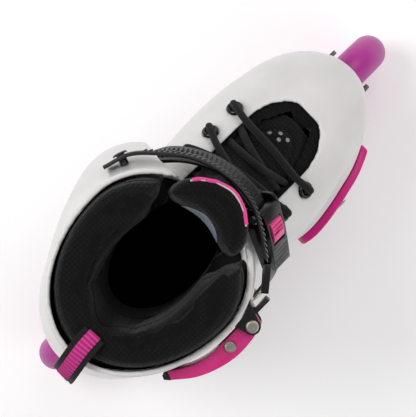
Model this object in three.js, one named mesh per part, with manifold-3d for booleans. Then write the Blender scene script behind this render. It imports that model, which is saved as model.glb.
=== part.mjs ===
// Hard-shell inline skate for the right foot, in millimetres.
// +X points to the toe, +Y to the inner side, +Z up. The origin is on the ground under the middle of the wheelbase.
import * as THREE from "three";
import { mergeVertices } from "three/addons/utils/BufferGeometryUtils.js";
import Module from "manifold-3d";

const wasm = await Module();
wasm.setup();

// Driving dimensions
const wheelRadius = 40;
const wheelWidth = 24;
const wheelSpacing = 81;
const wheelCount = 4;
const coreRadius = 23;
const bearingOuterRadius = 11;
const bearingBoreRadius = 4.15;
const bearingWidth = 7;
const axleRadius = 3.9;
const axleHeadRadius = 7;
const frameHalfWidth = 17.5;
const frameWall = 2.8;
const deckTop = 86;
const deckThickness = 3.4;
const frameOverhang = 12.5;
const frameBoltX = [78, -84];
const frameBoltRadius = 4;

const gap = 0.35;
const shellWall = 3.5;
const cuffWall = 3.4;
const cuffClearance = 1.3;
const linerGap = 0.5;
const linerThickness = 8;
const footbedThickness = 4;
const toeX = 133;
const heelX = -121;
const toeStart = 80;
const heelStart = -86;
const footMiddleZ = 105;

const pivot = { x: -50, z: 168 };
const pivotBoltRadius = 4.5;
const pivotHeadRadius = 9;
const staticRadius = 62;
const flapAngle = 40;
const cuffLowAngle = 52;
const collarTop = 314;
const throatHalfWidth = 30;

const slotHalfWidth = 25;
const slotEndX = 92;
const slotEndHalfWidth = 12.5;
const laceRadius = 2.25;
const laceRoom = 0.85;
const eyeletRim = 2.4;
const eyeletWall = 1.3;
const eyeletThickness = 1.4;
const eyeletBoreRadius = laceRadius + laceRoom;
const eyeletFlangeRadius = eyeletBoreRadius + eyeletRim;

const strapThickness = 2.4;
const toothHeight = 1.1;
const leverPivot = { x: -17, y: -65 };
const leverArm = 18;
const leverLow = 253;
const leverHigh = 277;
const leverPinRadius = 2;

// Colours and finishes
const finish = (color, roughness, metalness = 0) => new THREE.MeshStandardMaterial({ color, roughness, metalness });
const white = finish("#e8e8ea", 0.3);
const black = finish("#17171a", 0.45);
const magenta = finish("#c8148a", 0.4);
const urethane = finish("#c23a96", 0.35);
const pink = finish("#e8408f", 0.4);
const steel = finish("#b8bac0", 0.3, 1);
const fabric = finish("#1c1c1e", 0.95);
const webbing = finish("#db3e9c", 0.85);

const skate = new THREE.Group();

function place(name, geometry, material, matrix) {
  const mesh = new THREE.Mesh(geometry, material);
  mesh.name = name;
  if (matrix) mesh.applyMatrix4(matrix);
  skate.add(mesh);
}

// Solid helpers
const vec = (x, y, z) => new THREE.Vector3(x, y, z);

function solid(geometry) {
  const bare = geometry.clone();
  bare.deleteAttribute("normal");
  bare.deleteAttribute("uv");
  const merged = mergeVertices(bare, 1e-4);
  const triVerts = Uint32Array.from(merged.index.array);
  const vertProperties = Float32Array.from(merged.attributes.position.array);
  return new wasm.Manifold(new wasm.Mesh({ numProp: 3, vertProperties, triVerts }));
}

function shape(manifold) {
  const mesh = manifold.getMesh();
  const geometry = new THREE.BufferGeometry();
  geometry.setAttribute("position", new THREE.BufferAttribute(mesh.vertProperties, 3));
  geometry.setIndex(new THREE.BufferAttribute(mesh.triVerts, 1));
  return geometry;
}

// A closed body through rings of points that run the same way round; a point at either end closes it to a tip.
function loft(rings, startTip, endTip) {
  const count = rings[0].length;
  const points = rings.flat();
  const first = points.push(startTip ?? middle(rings[0])) - 1;
  const last = points.push(endTip ?? middle(rings.at(-1))) - 1;
  const faces = [];
  for (let j = 0; j < count; j++) {
    const next = (j + 1) % count;
    const top = (rings.length - 1) * count;
    faces.push(first, next, j, last, top + j, top + next);
    for (let i = 0; i < rings.length - 1; i++) {
      const a = i * count;
      const b = a + count;
      faces.push(a + j, a + next, b + next, a + j, b + next, b + j);
    }
  }
  if (volume(points, faces) < 0) faces.reverse();
  const geometry = new THREE.BufferGeometry().setFromPoints(points);
  geometry.setIndex(faces);
  return geometry;
}

const middle = (ring) => ring.reduce((sum, p) => sum.add(p), vec(0, 0, 0)).divideScalar(ring.length);

function volume(points, faces) {
  let sum = 0;
  const normal = vec(0, 0, 0);
  for (let i = 0; i < faces.length; i += 3) {
    normal.crossVectors(points[faces[i + 1]], points[faces[i + 2]]);
    sum += points[faces[i]].dot(normal);
  }
  return sum;
}

// A smooth curve through a few knots, read as a function.
function smooth(...knots) {
  const at = knots.map((k) => k[0]);
  const value = knots.map((k) => k[1]);
  const curve = new THREE.CubicInterpolant(at, value, 1);
  return (x) => curve.evaluate(Math.min(at.at(-1), Math.max(at[0], x)))[0];
}

const spaced = (from, to, steps) => Array.from({ length: steps + 1 }, (_, i) => from + ((to - from) * i) / steps);
const degrees = THREE.MathUtils.degToRad;

// A turned body: radius and height pairs around +Z, closed on itself or ended on the axis.
function turned(profile, segments) {
  const geometry = new THREE.LatheGeometry(profile.map(([r, z]) => new THREE.Vector2(r, z)), segments);
  return geometry.rotateX(Math.PI / 2);
}

// The radius that puts the flats of a many-sided ring at the wanted radius.
const clearOf = (radius, segments) => radius / Math.cos(Math.PI / segments);

function prism(outline, low, high) {
  const geometry = new THREE.ExtrudeGeometry(outline, { depth: high - low, bevelEnabled: false, curveSegments: 8 });
  return geometry.translate(0, 0, low);
}

// A side outline drawn in X and Z, carried across Y from low to high.
const sidePrism = (outline, low, high) => prism(outline, -high, -low).rotateX(Math.PI / 2);

const outlineOf = (points) => new THREE.Shape(points.map(([a, b]) => new THREE.Vector2(a, b)));

function roundOutline(points, divisions) {
  const curve = new THREE.CatmullRomCurve3(points.map(([a, b]) => vec(a, b, 0)), true, "centripetal");
  return new THREE.Shape(curve.getPoints(divisions).slice(0, -1).map((p) => new THREE.Vector2(p.x, p.y)));
}

function block(x, y, z) {
  const geometry = new THREE.BoxGeometry(x[1] - x[0], y[1] - y[0], z[1] - z[0]);
  return geometry.translate((x[0] + x[1]) / 2, (y[0] + y[1]) / 2, (z[0] + z[1]) / 2);
}

// A frame at a point whose Z axis is the given normal and whose X axis is as near as can be to the given heading.
function frameAt(point, normal, heading) {
  const z = normal.clone().normalize();
  const y = vec(0, 0, 0).crossVectors(z, heading).normalize();
  const x = vec(0, 0, 0).crossVectors(y, z);
  return new THREE.Matrix4().makeBasis(x, y, z).setPosition(point);
}

// Foot: sections across X. The inset moves the whole skin inwards.
const innerHalf = smooth([-121, 38], [-85, 40], [-40, 43], [5, 49], [42, 51], [64, 50], [84, 47], [133, 45]);
const outerHalf = smooth([-121, 38], [-85, 41], [-40, 46], [10, 52], [39, 56.5], [60, 54], [77, 50], [103, 44], [133, 40]);
const instep = smooth([-121, 148], [-60, 190], [0, 206], [20, 199], [41, 178], [62, 162], [93, 145], [115, 137], [133, 130]);
const toeSpring = 8;
const soleRise = (x) => toeSpring * Math.max(0, (x - 95) / (toeX - 95)) ** 2;
const soleZ = deckTop + gap;

function endRound(x, inset) {
  const toe = Math.max(0, (x - toeStart) / (toeX - inset - toeStart));
  const heel = Math.max(0, (heelStart - x) / (heelStart - heelX - inset));
  return Math.sqrt(Math.max(0, 1 - toe ** 2)) * Math.sqrt(Math.max(0, 1 - heel ** 2));
}

function footRing(x, inset, count) {
  const round = endRound(x, inset);
  const left = (innerHalf(x) - inset) * round;
  const right = (outerHalf(x) - inset) * round;
  const up = (instep(x) - inset - footMiddleZ) * round ** 0.8;
  const down = (footMiddleZ - soleZ - soleRise(x) - inset) * round ** 0.5;
  return spaced(0, 2 * Math.PI, count).slice(0, -1).map((angle) => {
    const c = Math.cos(angle);
    const s = Math.sin(angle);
    const power = s > 0 ? 2 / 2.4 : 2 / 4;
    const y = Math.sign(c) * Math.abs(c) ** power * (c > 0 ? left : right);
    const z = Math.sign(s) * Math.abs(s) ** power * (s > 0 ? up : down);
    return vec(x, y, footMiddleZ + z);
  });
}

function foot(inset, count = 22, steps = 15) {
  const middleX = (toeX + heelX) / 2;
  const reach = (toeX - heelX) / 2 - inset;
  const stations = spaced(-0.93, 0.93, steps).map((t) => middleX + reach * Math.sin((t * Math.PI) / 2));
  const tips = [heelX + inset, toeX - inset].map((x) => vec(x, 0, footMiddleZ));
  return solid(loft(stations.map((x) => footRing(x, inset, count)), tips[0], tips[1]));
}

// Height of the foot skin above a plan point, and its outward normal there.
function skinHeight(x, y, inset) {
  const round = endRound(x, inset);
  const half = ((y > 0 ? innerHalf(x) : outerHalf(x)) - inset) * round;
  const up = (instep(x) - inset - footMiddleZ) * round ** 0.8;
  return footMiddleZ + up * Math.max(0, 1 - Math.abs(y / half) ** 2.4) ** (1 / 2.4);
}

function skinNormal(x, y) {
  const step = 1;
  const slopeX = (skinHeight(x + step, y, 0) - skinHeight(x - step, y, 0)) / (2 * step);
  const slopeY = (skinHeight(x, y + step, 0) - skinHeight(x, y - step, 0)) / (2 * step);
  return vec(-slopeX, -slopeY, 1).normalize();
}

// Leg: sections across Z. The cuff's outer skin is the base, and everything inside it is an inset of it.
const legCentreX = -28;
const legHalf = smooth([85, 43], [120, 48], [150, 56], [180, 60], [230, 60], [265, 58.5], [290, 57.5], [330, 57.5]);
const legBack = smooth([85, -120], [130, -122], [160, -122], [225, -121], [260, -113.5], [290, -106], [330, -98]);
const legFront = 22;
const wingBulge = 12;
const wingHeight = 217;

// How far the wing stands out at a height, and how that spreads round the leg: it fades to the back, not the front.
const wingReach = (z) => Math.exp(-(((z - wingHeight) / (z < wingHeight ? 45 : 34)) ** 2));
const wingShare = (c, s) => (c > 0 ? (1 + 0.6 * c) * Math.min(1, 3 * s) : Math.max(0, 1 + 1.6 * c) * s);

function legRing(z, inset, bulge, count) {
  const back = legCentreX - legBack(z) - inset;
  const front = legFront - legCentreX - inset;
  const side = legHalf(z) - inset;
  const flare = bulge * wingReach(z);
  return spaced(0, 2 * Math.PI, count).slice(0, -1).map((angle) => {
    const c = Math.cos(angle);
    const s = Math.sin(angle);
    const y = side * s + (s > 0 ? flare * wingShare(c, s) : 0);
    return vec(legCentreX + c * (c > 0 ? front : back), y, z);
  });
}

function leg(inset, bulge, low, high, steps = 7, count = 26) {
  const depth = typeof inset === "function" ? inset : () => inset;
  return solid(loft(spaced(low, high, steps).map((z) => legRing(z, depth(z), bulge, count))));
}

const shellClearance = (z) => cuffWall + cuffClearance + 0.05 * Math.max(0, z - pivot.z);
const shellLeg = (depth, low, high) => leg((z) => shellClearance(z) + depth, 0, low, high, 5, 24);
const wallY = (x, z, side) => {
  const reach = x < legCentreX ? legCentreX - legBack(z) : legFront - legCentreX;
  return side * legHalf(z) * Math.sqrt(1 - ((x - legCentreX) / reach) ** 2);
};

// Regions around the ankle pivot, as side outlines, that keep what flexes clear of what stays.
function arcPoint(radius, angle) {
  return [pivot.x + radius * Math.cos(degrees(angle)), pivot.z + radius * Math.sin(degrees(angle))];
}

function stillRegion(radius, flapTop) {
  const flap = degrees(flapAngle);
  const flapX = pivot.x + (flapTop - pivot.z) / Math.tan(flap);
  const arc = spaced(flapAngle, 180, 14).map((angle) => arcPoint(radius, angle));
  const outline = [[-140, 60], [150, 60], [150, flapTop], [flapX, flapTop], ...arc, [-140, pivot.z - 3]];
  return solid(sidePrism(outlineOf(outline), -90, 90));
}

function movingRegion(radius, frontLow) {
  const arc = spaced(cuffLowAngle, 172, 12).map((angle) => arcPoint(radius, angle));
  const frontX = arc[0][0] + (frontLow - arc[0][1]) / Math.tan(degrees(cuffLowAngle));
  const outline = [[-140, 340], [-140, pivot.z + 9], ...arc.reverse(), [frontX, frontLow], [60, frontLow], [60, 340]];
  return solid(sidePrism(outlineOf(outline), -90, 90));
}

// Instep slot of the shell, in plan.
function slotVolume(inset) {
  const half = slotHalfWidth - inset;
  const end = slotEndX - inset;
  const nose = slotEndHalfWidth - inset / 2;
  const plan = [[-34, -half], [64, -half], [80, -half + 4], [end - 2, -nose], [end, -nose + 4]];
  const mirrored = plan.map(([x, y]) => [x, -y]).reverse();
  return solid(prism(outlineOf([...plan, ...mirrored]), 122, 330));
}

// Ribbon: a flat band along a path, with its own width direction at each station. Its root has no teeth.
const plainStations = 6;

function ribbon(stations, thickness, teeth = 0) {
  const rings = stations.map(({ at, across, out, width }, i) => {
    const side = across.clone().multiplyScalar(width / 2);
    const under = out.clone().multiplyScalar(-thickness / 2);
    const over = out.clone().multiplyScalar(thickness / 2 + (i % 2 && i > plainStations ? teeth : 0));
    return [
      at.clone().add(side).add(under),
      at.clone().add(side).add(over),
      at.clone().sub(side).add(over),
      at.clone().sub(side).add(under),
    ];
  });
  return loft(rings);
}

// Stations along a smooth path; each knot holds a place, an outward direction and a width.
function stations(knots, count) {
  const path = new THREE.CatmullRomCurve3(knots.map((k) => vec(...k.at)), false, "centripetal");
  const outPath = new THREE.CatmullRomCurve3(knots.map((k) => vec(...k.out)), false, "centripetal");
  const widths = smooth(...knots.map((k, i) => [i, k.width]));
  return spaced(0, 1, count).map((t) => {
    const tangent = path.getTangent(t);
    const out = outPath.getPoint(t);
    const across = vec(0, 0, 0).crossVectors(out, tangent).normalize();
    return { at: path.getPoint(t), across, out: vec(0, 0, 0).crossVectors(tangent, across).normalize(),
      width: widths(t * (knots.length - 1)) };
  });
}

// A tube of round section along a smooth path, closed at both ends.
function tube(path, radius, steps, sides) {
  const section = new THREE.Shape();
  section.absarc(0, 0, radius, 0, 2 * Math.PI);
  const round = new THREE.Shape(section.getPoints(sides / 2).slice(0, sides));
  return new THREE.ExtrudeGeometry(round, { steps, extrudePath: path, bevelEnabled: false, curveSegments: 2 });
}

// Wheels
function tyreShape() {
  const bore = coreRadius + gap;
  const half = wheelWidth / 2;
  const tread = spaced(-75, 75, 4).map((a) => {
    return [wheelRadius - half + half * Math.cos(degrees(a)), half * Math.sin(degrees(a))];
  });
  return turned([[bore, half - 3], [bore, -half + 3], [bore + 2, -half + 0.4], ...tread, [bore + 2, half - 0.4],
    [bore, half - 3]], 22);
}

function coreShape() {
  const seat = clearOf(bearingOuterRadius + gap, 14);
  const web = clearOf(axleRadius + 2.2, 14);
  const half = wheelWidth / 2;
  const ledge = half - bearingWidth - 0.3;
  const ring = turned([[coreRadius, -half + 3], [coreRadius, half - 3], [seat + 2, half - 0.8], [seat, half - 0.8],
    [seat, ledge], [web, ledge], [web, -ledge], [seat, -ledge], [seat, -half + 0.8], [seat + 2, -half + 0.8],
    [coreRadius, -half + 3]], 14);
  return solid(ring);
}

function spokedCore() {
  let core = coreShape();
  for (const angle of spaced(0, 288, 4)) {
    const window = prism(outlineOf([[14.5, -3], [19.5, -4.6], [19.5, 4.6], [14.5, 3]]), -20, 20);
    core = core.subtract(solid(window.rotateZ(degrees(angle))));
  }
  return shape(core);
}

function bearingShape() {
  const bore = clearOf(bearingBoreRadius, 14);
  const half = bearingWidth / 2;
  return turned([[bore, -half], [bearingOuterRadius, -half], [bearingOuterRadius, half], [bore, half],
    [bore, -half]], 14);
}

function axleShape() {
  const head = frameHalfWidth + gap;
  const socket = 2.4;
  return turned([[0, -frameHalfWidth + 1], [axleRadius, -frameHalfWidth + 1], [axleRadius, head],
    [axleHeadRadius, head], [axleHeadRadius - 1, head + 2.2], [socket, head + 2.2], [socket, head + 0.6],
    [0, head + 0.6]], 10);
}

function wheels() {
  const first = ((wheelCount - 1) * wheelSpacing) / 2;
  const tyre = tyreShape();
  const core = spokedCore();
  const bearing = bearingShape();
  const axle = axleShape();
  for (let i = 0; i < wheelCount; i++) {
    const centre = vec(first - i * wheelSpacing, 0, wheelRadius);
    const turn = new THREE.Matrix4().makeRotationX(Math.PI / 2).setPosition(centre);
    const name = `wheel${i + 1}`;
    place(`${name}_tyre`, tyre, urethane, turn);
    place(`${name}_hub`, core, magenta, turn);
    for (const [side, label] of [[1, "outer"], [-1, "inner"]]) {
      const offset = new THREE.Matrix4().makeTranslation(0, 0, side * (wheelWidth - bearingWidth) / 2);
      place(`${name}_bearing_${label}`, bearing, steel, turn.clone().multiply(offset));
    }
    place(`${name}_axle`, axle, steel, turn);
  }
}

// Frame: two side plates with a lobe round each axle, and a deck under the sole.
function frameOutline() {
  const first = ((wheelCount - 1) * wheelSpacing) / 2;
  const lobe = frameOverhang;
  const valley = wheelRadius + 8;
  const points = [];
  for (let i = wheelCount - 1; i >= 0; i--) {
    const x = first - i * wheelSpacing;
    points.push(...spaced(200, 340, 4).map((a) => [x + lobe * Math.cos(degrees(a)), wheelRadius + lobe * Math.sin(degrees(a))]));
    if (i > 0) points.push([x + wheelSpacing / 2 - 12, valley], [x + wheelSpacing / 2 + 12, valley]);
  }
  const front = first + lobe;
  return outlineOf([...points, [front, wheelRadius + 10], [front - 14, deckTop], [-front + 14, deckTop],
    [-front, wheelRadius + 10]]);
}

function frameShape() {
  const first = ((wheelCount - 1) * wheelSpacing) / 2;
  const inner = frameHalfWidth - frameWall;
  let body = solid(sidePrism(frameOutline(), -frameHalfWidth, frameHalfWidth));
  body = body.subtract(solid(block([-160, 160], [-inner, inner], [0, deckTop - deckThickness])));
  for (let i = 0; i < wheelCount; i++) {
    const x = first - i * wheelSpacing;
    for (const side of [-1, 1]) {
      const low = side > 0 ? wheelWidth / 2 + gap : -inner - 0.6;
      const boss = turned([[0, low], [6.5, low], [6.5, low + inner + 0.6 - wheelWidth / 2 - gap],
        [0, low + inner + 0.6 - wheelWidth / 2 - gap]], 10).rotateX(Math.PI / 2).translate(x, 0, wheelRadius);
      body = body.add(solid(boss));
    }
    const hole = clearOf(axleRadius + gap, 10);
    const bore = turned([[0, -30], [hole, -30], [hole, 30], [0, 30]], 10).rotateX(Math.PI / 2);
    body = body.subtract(solid(bore.translate(x, 0, wheelRadius)));
    if (i === 0) continue;
    const window = outlineOf([[-13, 61], [13, 61], [9, 76], [-9, 76]]);
    body = body.subtract(solid(sidePrism(window, -30, 30).translate(x + wheelSpacing / 2, 0, 0)));
  }
  for (const x of frameBoltX) body = body.subtract(boltHole(x));
  return shape(body);
}

function boltHole(x) {
  const radius = clearOf(frameBoltRadius + gap, 10);
  return solid(turned([[0, 60], [radius, 60], [radius, 105], [0, 105]], 10).translate(x, 0, 0));
}

function frameBolts() {
  const low = deckTop - deckThickness;
  const top = soleZ + shellWall - 0.5;
  const bolt = turned([[0, low - 2.2], [frameBoltRadius + 2, low - 2.2], [frameBoltRadius + 2, low - gap],
    [frameBoltRadius, low - gap], [frameBoltRadius, top], [0, top]], 10);
  ["front", "rear"].forEach((label, i) => {
    place(`frame_bolt_${label}`, bolt, steel, new THREE.Matrix4().makeTranslation(frameBoltX[i], 0, 0));
  });
}

// Eyelets and lace
const eyeletPlaces = { M1: [60.5, 35], L1: [57, -33.5], M2: [39.5, 35], L2: [37, -33.5], M3: [21, 34.5], L3: [18.5, -34.5] };

function eyeletFrame([x, y]) {
  const point = vec(x, y, skinHeight(x, y, 0));
  return frameAt(point, skinNormal(x, y), vec(1, 0, 0));
}

function eyeletHoles(low) {
  const radius = clearOf(eyeletBoreRadius + eyeletWall + gap, 8);
  const drill = turned([[0, low], [radius, low], [radius, 9], [0, 9]], 8);
  return Object.values(eyeletPlaces).map((at) => solid(drill.clone().applyMatrix4(eyeletFrame(at))));
}

function eyelets() {
  const bore = clearOf(eyeletBoreRadius, 10);
  const sleeve = eyeletBoreRadius + eyeletWall;
  const low = 0.9;
  const ring = turned([[bore, -shellWall], [sleeve, -shellWall], [sleeve, low], [eyeletFlangeRadius, low],
    [eyeletFlangeRadius - 1.2, low + eyeletThickness], [bore + 0.5, low + eyeletThickness],
    [bore, low + 0.5], [bore, -shellWall]], 10);
  const label = { M: "inner", L: "outer" };
  for (const [key, at] of Object.entries(eyeletPlaces)) {
    place(`eyelet_${label[key[0]]}_${key[1]}`, ring, black, eyeletFrame(at));
  }
}

// The lace threads every eyelet once. Its loose ends are tucked down inside the shell.
function lacePath() {
  const over = (key) => vec(0, 0, 5).applyMatrix4(eyeletFrame(eyeletPlaces[key]));
  const within = (key) => vec(0, 0, -0.6).applyMatrix4(eyeletFrame(eyeletPlaces[key]));
  const under = (key) => vec(0, 0, -6.2).applyMatrix4(eyeletFrame(eyeletPlaces[key]));
  const points = [
    vec(0, 22, 176), vec(9, 26, 171), under("M3"), within("M3"), over("M3"), vec(29, 27, 187), vec(35.5, 6, 188), vec(38.5, -14, 185),
    vec(39, -26, 180), over("L2"), within("L2"), under("L2"), vec(44, -23, 159), vec(48, 0, 166), vec(55, 20, 153),
    under("M1"), within("M1"), over("M1"), vec(61, 26, 164), vec(60.5, 0, 169), vec(58.5, -25, 165.5), over("L1"), within("L1"), under("L1"),
    vec(51, -20, 153), vec(47, 0, 172), vec(45, 20, 160), under("M2"), within("M2"), over("M2"), vec(38, 28, 178), vec(35, 14, 187),
    vec(31, -4, 193), vec(24.5, -24.5, 194.2), over("L3"), within("L3"), under("L3"), vec(8, -26, 171),
    vec(0, -22, 176),
  ];
  return new THREE.CatmullRomCurve3(points, false, "centripetal");
}

// Shell, cuff and soft parts
function shellShape() {
  const outside = foot(0).add(shellLeg(0, 98, 240));
  const inside = foot(shellWall).add(shellLeg(shellWall, 108, 250));
  let body = outside.subtract(inside).intersect(stillRegion(staticRadius, 214)).subtract(slotVolume(0)).subtract(rivetHole(instepStrapBolt()));
  for (const hole of eyeletHoles(-9)) body = body.subtract(hole);
  for (const x of frameBoltX) body = body.subtract(boltHole(x));
  return shape(body.subtract(pivotHole()).subtract(sliderHole()));
}

function pivotHole() {
  const radius = clearOf(pivotBoltRadius + gap, 20);
  const hole = turned([[0, -90], [radius, -90], [radius, 90], [0, 90]], 20).rotateX(Math.PI / 2);
  return solid(hole.translate(pivot.x, 0, pivot.z));
}

function pivotBolts() {
  for (const [side, label] of [[1, "inner"], [-1, "outer"]]) {
    const flare = side > 0 ? wingBulge * wingReach(pivot.z + 6) * 0.75 : 0;
    const seat = Math.abs(wallY(pivot.x + pivotHeadRadius, pivot.z + 6, side)) + flare + 1.6;
    const end = seat - cuffWall - cuffClearance - shellWall - 3;
    const bolt = turned([[0, end], [pivotBoltRadius, end], [pivotBoltRadius, seat], [pivotHeadRadius, seat],
      [pivotHeadRadius - 1.5, seat + 2.4], [2.5, seat + 2.4], [2.5, seat + 1], [0, seat + 1]], 14);
    const turn = new THREE.Matrix4().makeRotationX((-side * Math.PI) / 2).setPosition(pivot.x, 0, pivot.z);
    place(`cuff_bolt_${label}`, bolt, steel, turn);
  }
}

function cuffOutline(side) {
  const front = side > 0
    ? [[-5, 178], [6, 196], [9, 222], [10, 250], [11, 282]]
    : [[-14, 174], [-9, 200], [-5, 232], [8, 244], [9.5, 282]];
  const low = [[-126, 179], [-92, 171], [-73, 153], [-50, 146], [-27, 153]];
  return roundOutline([...low, ...front, [-20, 289], [-60, 296], [-112, 301], [-128, 296], [-132, 240]], 44);
}

function cuffShape() {
  const wall = leg(0, wingBulge, 140, 306, 9).subtract(leg(cuffWall, wingBulge, 136, 310, 9));
  const inner = wall.intersect(solid(sidePrism(cuffOutline(1), -0.01, 90)));
  const outer = wall.intersect(solid(sidePrism(cuffOutline(-1), -90, 0)));
  return shape(inner.add(outer).subtract(pivotHole()).subtract(rivetHole(cuffStrapBolt())));
}

function tongueStations(grow) {
  const knots = [
    { at: [87, 0, 141], out: [0.3, 0, 1], width: 27 }, { at: [74, 0, 150], out: [0.45, 0, 1], width: 44 },
    { at: [58, 0, 160], out: [0.6, 0, 1], width: 58 }, { at: [40, 0, 176], out: [0.8, 0, 1], width: 62 },
    { at: [27, 0, 194], out: [1, 0, 0.7], width: 58 }, { at: [20, 0, 218], out: [1, 0, 0.1], width: 52 },
    { at: [19, 0, 245], out: [1, 0, -0.1], width: 52 }, { at: [21, 0, 275], out: [1, 0, -0.12], width: 53 },
    { at: [25, 0, 300], out: [1, 0, -0.15], width: 53 }, { at: [27, 0, 312], out: [1, 0, -0.15], width: 48 },
  ];
  const depth = smooth([0, 6], [0.4, 8], [0.6, 12], [1, 17]);
  return stations(knots, 16).map((s, i) => ({ ...s, width: s.width + grow, depth: depth(i / 16) + grow }));
}

// The tongue's section is an arch: its edges fall back from its crown.
function tongueSolid(grow) {
  const rings = tongueStations(grow).map(({ at, across, out, width, depth }) => {
    const fall = (t) => -0.26 * width * t * t;
    const row = (level, t) => at.clone().addScaledVector(across, (t * width) / 2)
      .addScaledVector(out, fall(t) + level);
    const outside = spaced(-1, 1, 6).map((t) => row(depth / 2, t));
    const inside = spaced(0.92, -0.92, 6).map((t) => row(-depth / 2, t));
    return [...outside, ...inside];
  });
  return solid(loft(rings));
}

const holeHalf = smooth([100, 27], [200, 27], [260, 28], [295, 30], [306, 33], [316, 39]);

function legHole(low, high) {
  const rings = spaced(low, high, 6).map((z) => {
    const half = holeHalf(z);
    return spaced(0, 2 * Math.PI, 18).slice(0, -1).map((a) => {
      const c = Math.cos(a);
      return vec(-38 + c * (c > 0 ? half + 22 : half + 12), half * Math.sin(a), z);
    });
  });
  return solid(loft(rings));
}

function shellBite() {
  const outside = foot(-0.4).add(shellLeg(-0.4, 98, 240));
  const inside = foot(shellWall + 0.4).add(shellLeg(shellWall + 0.4, 108, 250));
  return outside.subtract(inside).subtract(slotVolume(0.4));
}

function linerLowerShape(laceSpace) {
  const depth = shellWall + linerGap;
  const outside = foot(depth, 22, 15).add(shellLeg(depth, 112, 240));
  const inside = foot(depth + linerThickness, 14, 8).add(legHole(110, 250));
  let body = outside.subtract(inside).intersect(stillRegion(staticRadius - 1, 210));
  body = body.subtract(tongueSolid(1.4)).subtract(laceSpace).subtract(solid(block([-10, 60], [-24, 24], [190, 260])));
  for (const room of eyeletHoles(-shellWall - gap)) body = body.subtract(room);
  return largest(body);
}

function largest(manifold) {
  const parts = manifold.decompose().sort((a, b) => b.volume() - a.volume());
  return parts[0];
}

function collarShape() {
  const inset = smooth([170, 4.3], [250, 4.6], [290, 6], [302, 8], [309, 12], [collarTop, 17]);
  const outside = leg(inset, 0, 170, collarTop, 9, 24);
  const throat = solid(block([-27, 60], [-throatHalfWidth, throatHalfWidth], [160, 340]));
  const body = outside.subtract(legHole(160, 320)).subtract(throat).intersect(movingRegion(staticRadius + 1.6, 231));
  return largest(body.subtract(solid(block([-60, 60], [-90, 90], [160, 200]))));
}

function footbedShape() {
  const depth = shellWall + linerGap + linerThickness;
  const low = soleZ + depth;
  const slab = solid(block([-120, 120], [-60, 60], [low + 0.6, low + 0.6 + footbedThickness]));
  return shape(foot(depth + gap + 0.3, 14, 8).intersect(slab));
}

// Side slider, a wear plate over the outer side of the toe.
const sliderEnds = [29, 103];
const sliderDepth = 6;

function sliderShape() {
  const [rear, front] = sliderEnds;
  const outline = roundOutline([[rear, 93], [rear + 3, 103], [rear + 25, 107.5], [front - 20, 106], [front, 99],
    [front - 2, 92], [front - 25, 88.5], [rear + 15, 89]], 20);
  const side = solid(sidePrism(outline, -75, -20));
  const plate = foot(-sliderDepth).subtract(foot(-gap)).intersect(side);
  return shape(plate.subtract(sliderHole()));
}

const sliderScrewX = 66;
const sliderScrewZ = 98;

function sliderHole() {
  const radius = clearOf(2.2 + gap, 12);
  const hole = turned([[0, 40], [radius, 40], [radius, 80], [0, 80]], 12).rotateX(Math.PI / 2);
  return solid(hole.translate(sliderScrewX, 0, sliderScrewZ));
}

function sliderScrew() {
  const seat = outerHalf(sliderScrewX) + sliderDepth + 0.4;
  const screw = turned([[0, seat - 9], [2.2, seat - 9], [2.2, seat], [4.2, seat], [3.4, seat + 1.6], [0, seat + 1.6]], 12);
  place("slider_screw", screw, steel, new THREE.Matrix4().makeRotationX(Math.PI / 2).setPosition(sliderScrewX, 0, sliderScrewZ));
}

// Instep strap and its ratchet buckle
const buckleHead = vec(33.5, -12, 212);
const buckleTail = vec(12.5, -51.5, 188);
const buckleOut = vec(0.52, -0.55, 0.62).normalize();
const buckleWidth = 21;

function buckleFrame() {
  return frameAt(buckleHead, buckleOut, buckleTail.clone().sub(buckleHead));
}

function instepStrap() {
  const lead = vec(1, 0, 0).transformDirection(buckleFrame());
  const along = (distance) => {
    return buckleHead.clone().addScaledVector(lead, distance).addScaledVector(buckleOut, -0.9).toArray();
  };
  const out = buckleOut.toArray();
  const knots = [
    { at: [-22, 56.6, 187], out: [0, 1, 0.05], width: 24 }, { at: [-5, 52.5, 196], out: [0.3, 1, 0.2], width: 23 },
    { at: [10.5, 45, 206], out: [0.6, 0.8, 0.45], width: 21 }, { at: [24, 31, 213], out: [0.8, 0.45, 0.5], width: 17 },
    { at: [32.5, 12, 214.5], out: [0.85, 0, 0.5], width: 14.5 }, { at: along(2), out, width: 13.5 },
    { at: along(17), out, width: 13.5 },
  ];
  return stations(knots, 30);
}

function instepStrapBolt() {
  const root = instepStrap()[3];
  return frameAt(root.at, root.out, vec(1, 0, 0));
}

const rivetRadius = 2.6;

function rivetHole(matrix) {
  const radius = clearOf(rivetRadius + gap, 12);
  return solid(turned([[0, -20], [radius, -20], [radius, 20], [0, 20]], 12).applyMatrix4(matrix));
}

function rivet(name, matrix, low, high) {
  const body = turned([[0, low], [rivetRadius, low], [rivetRadius, high], [rivetRadius + 2.2, high],
    [rivetRadius + 1.2, high + 1.6], [0, high + 1.6]], 12);
  place(name, body, steel, matrix);
}

// Buckle pieces in the buckle's own frame: X along it from head to tail, Z out of the instep.
function buckleBase() {
  const half = buckleWidth / 2;
  const plate = solid(block([2, 49], [-half, half], [-4.9, -2.9]));
  const wall = outlineOf([[3, -3.5], [47, -3.5], [47, -1], [34, 2], [22, 7], [8, 8.5], [3, 6]]);
  let body = plate;
  for (const side of [-1, 1]) {
    body = body.add(solid(sidePrism(wall, side > 0 ? half - 2 : -half, side > 0 ? half : -half + 2)));
  }
  return body.subtract(bucklePinHole()).subtract(rivetHole(new THREE.Matrix4().makeTranslation(42, 0, 0)));
}

const bucklePin = { x: 10, z: 4.2 };

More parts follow.
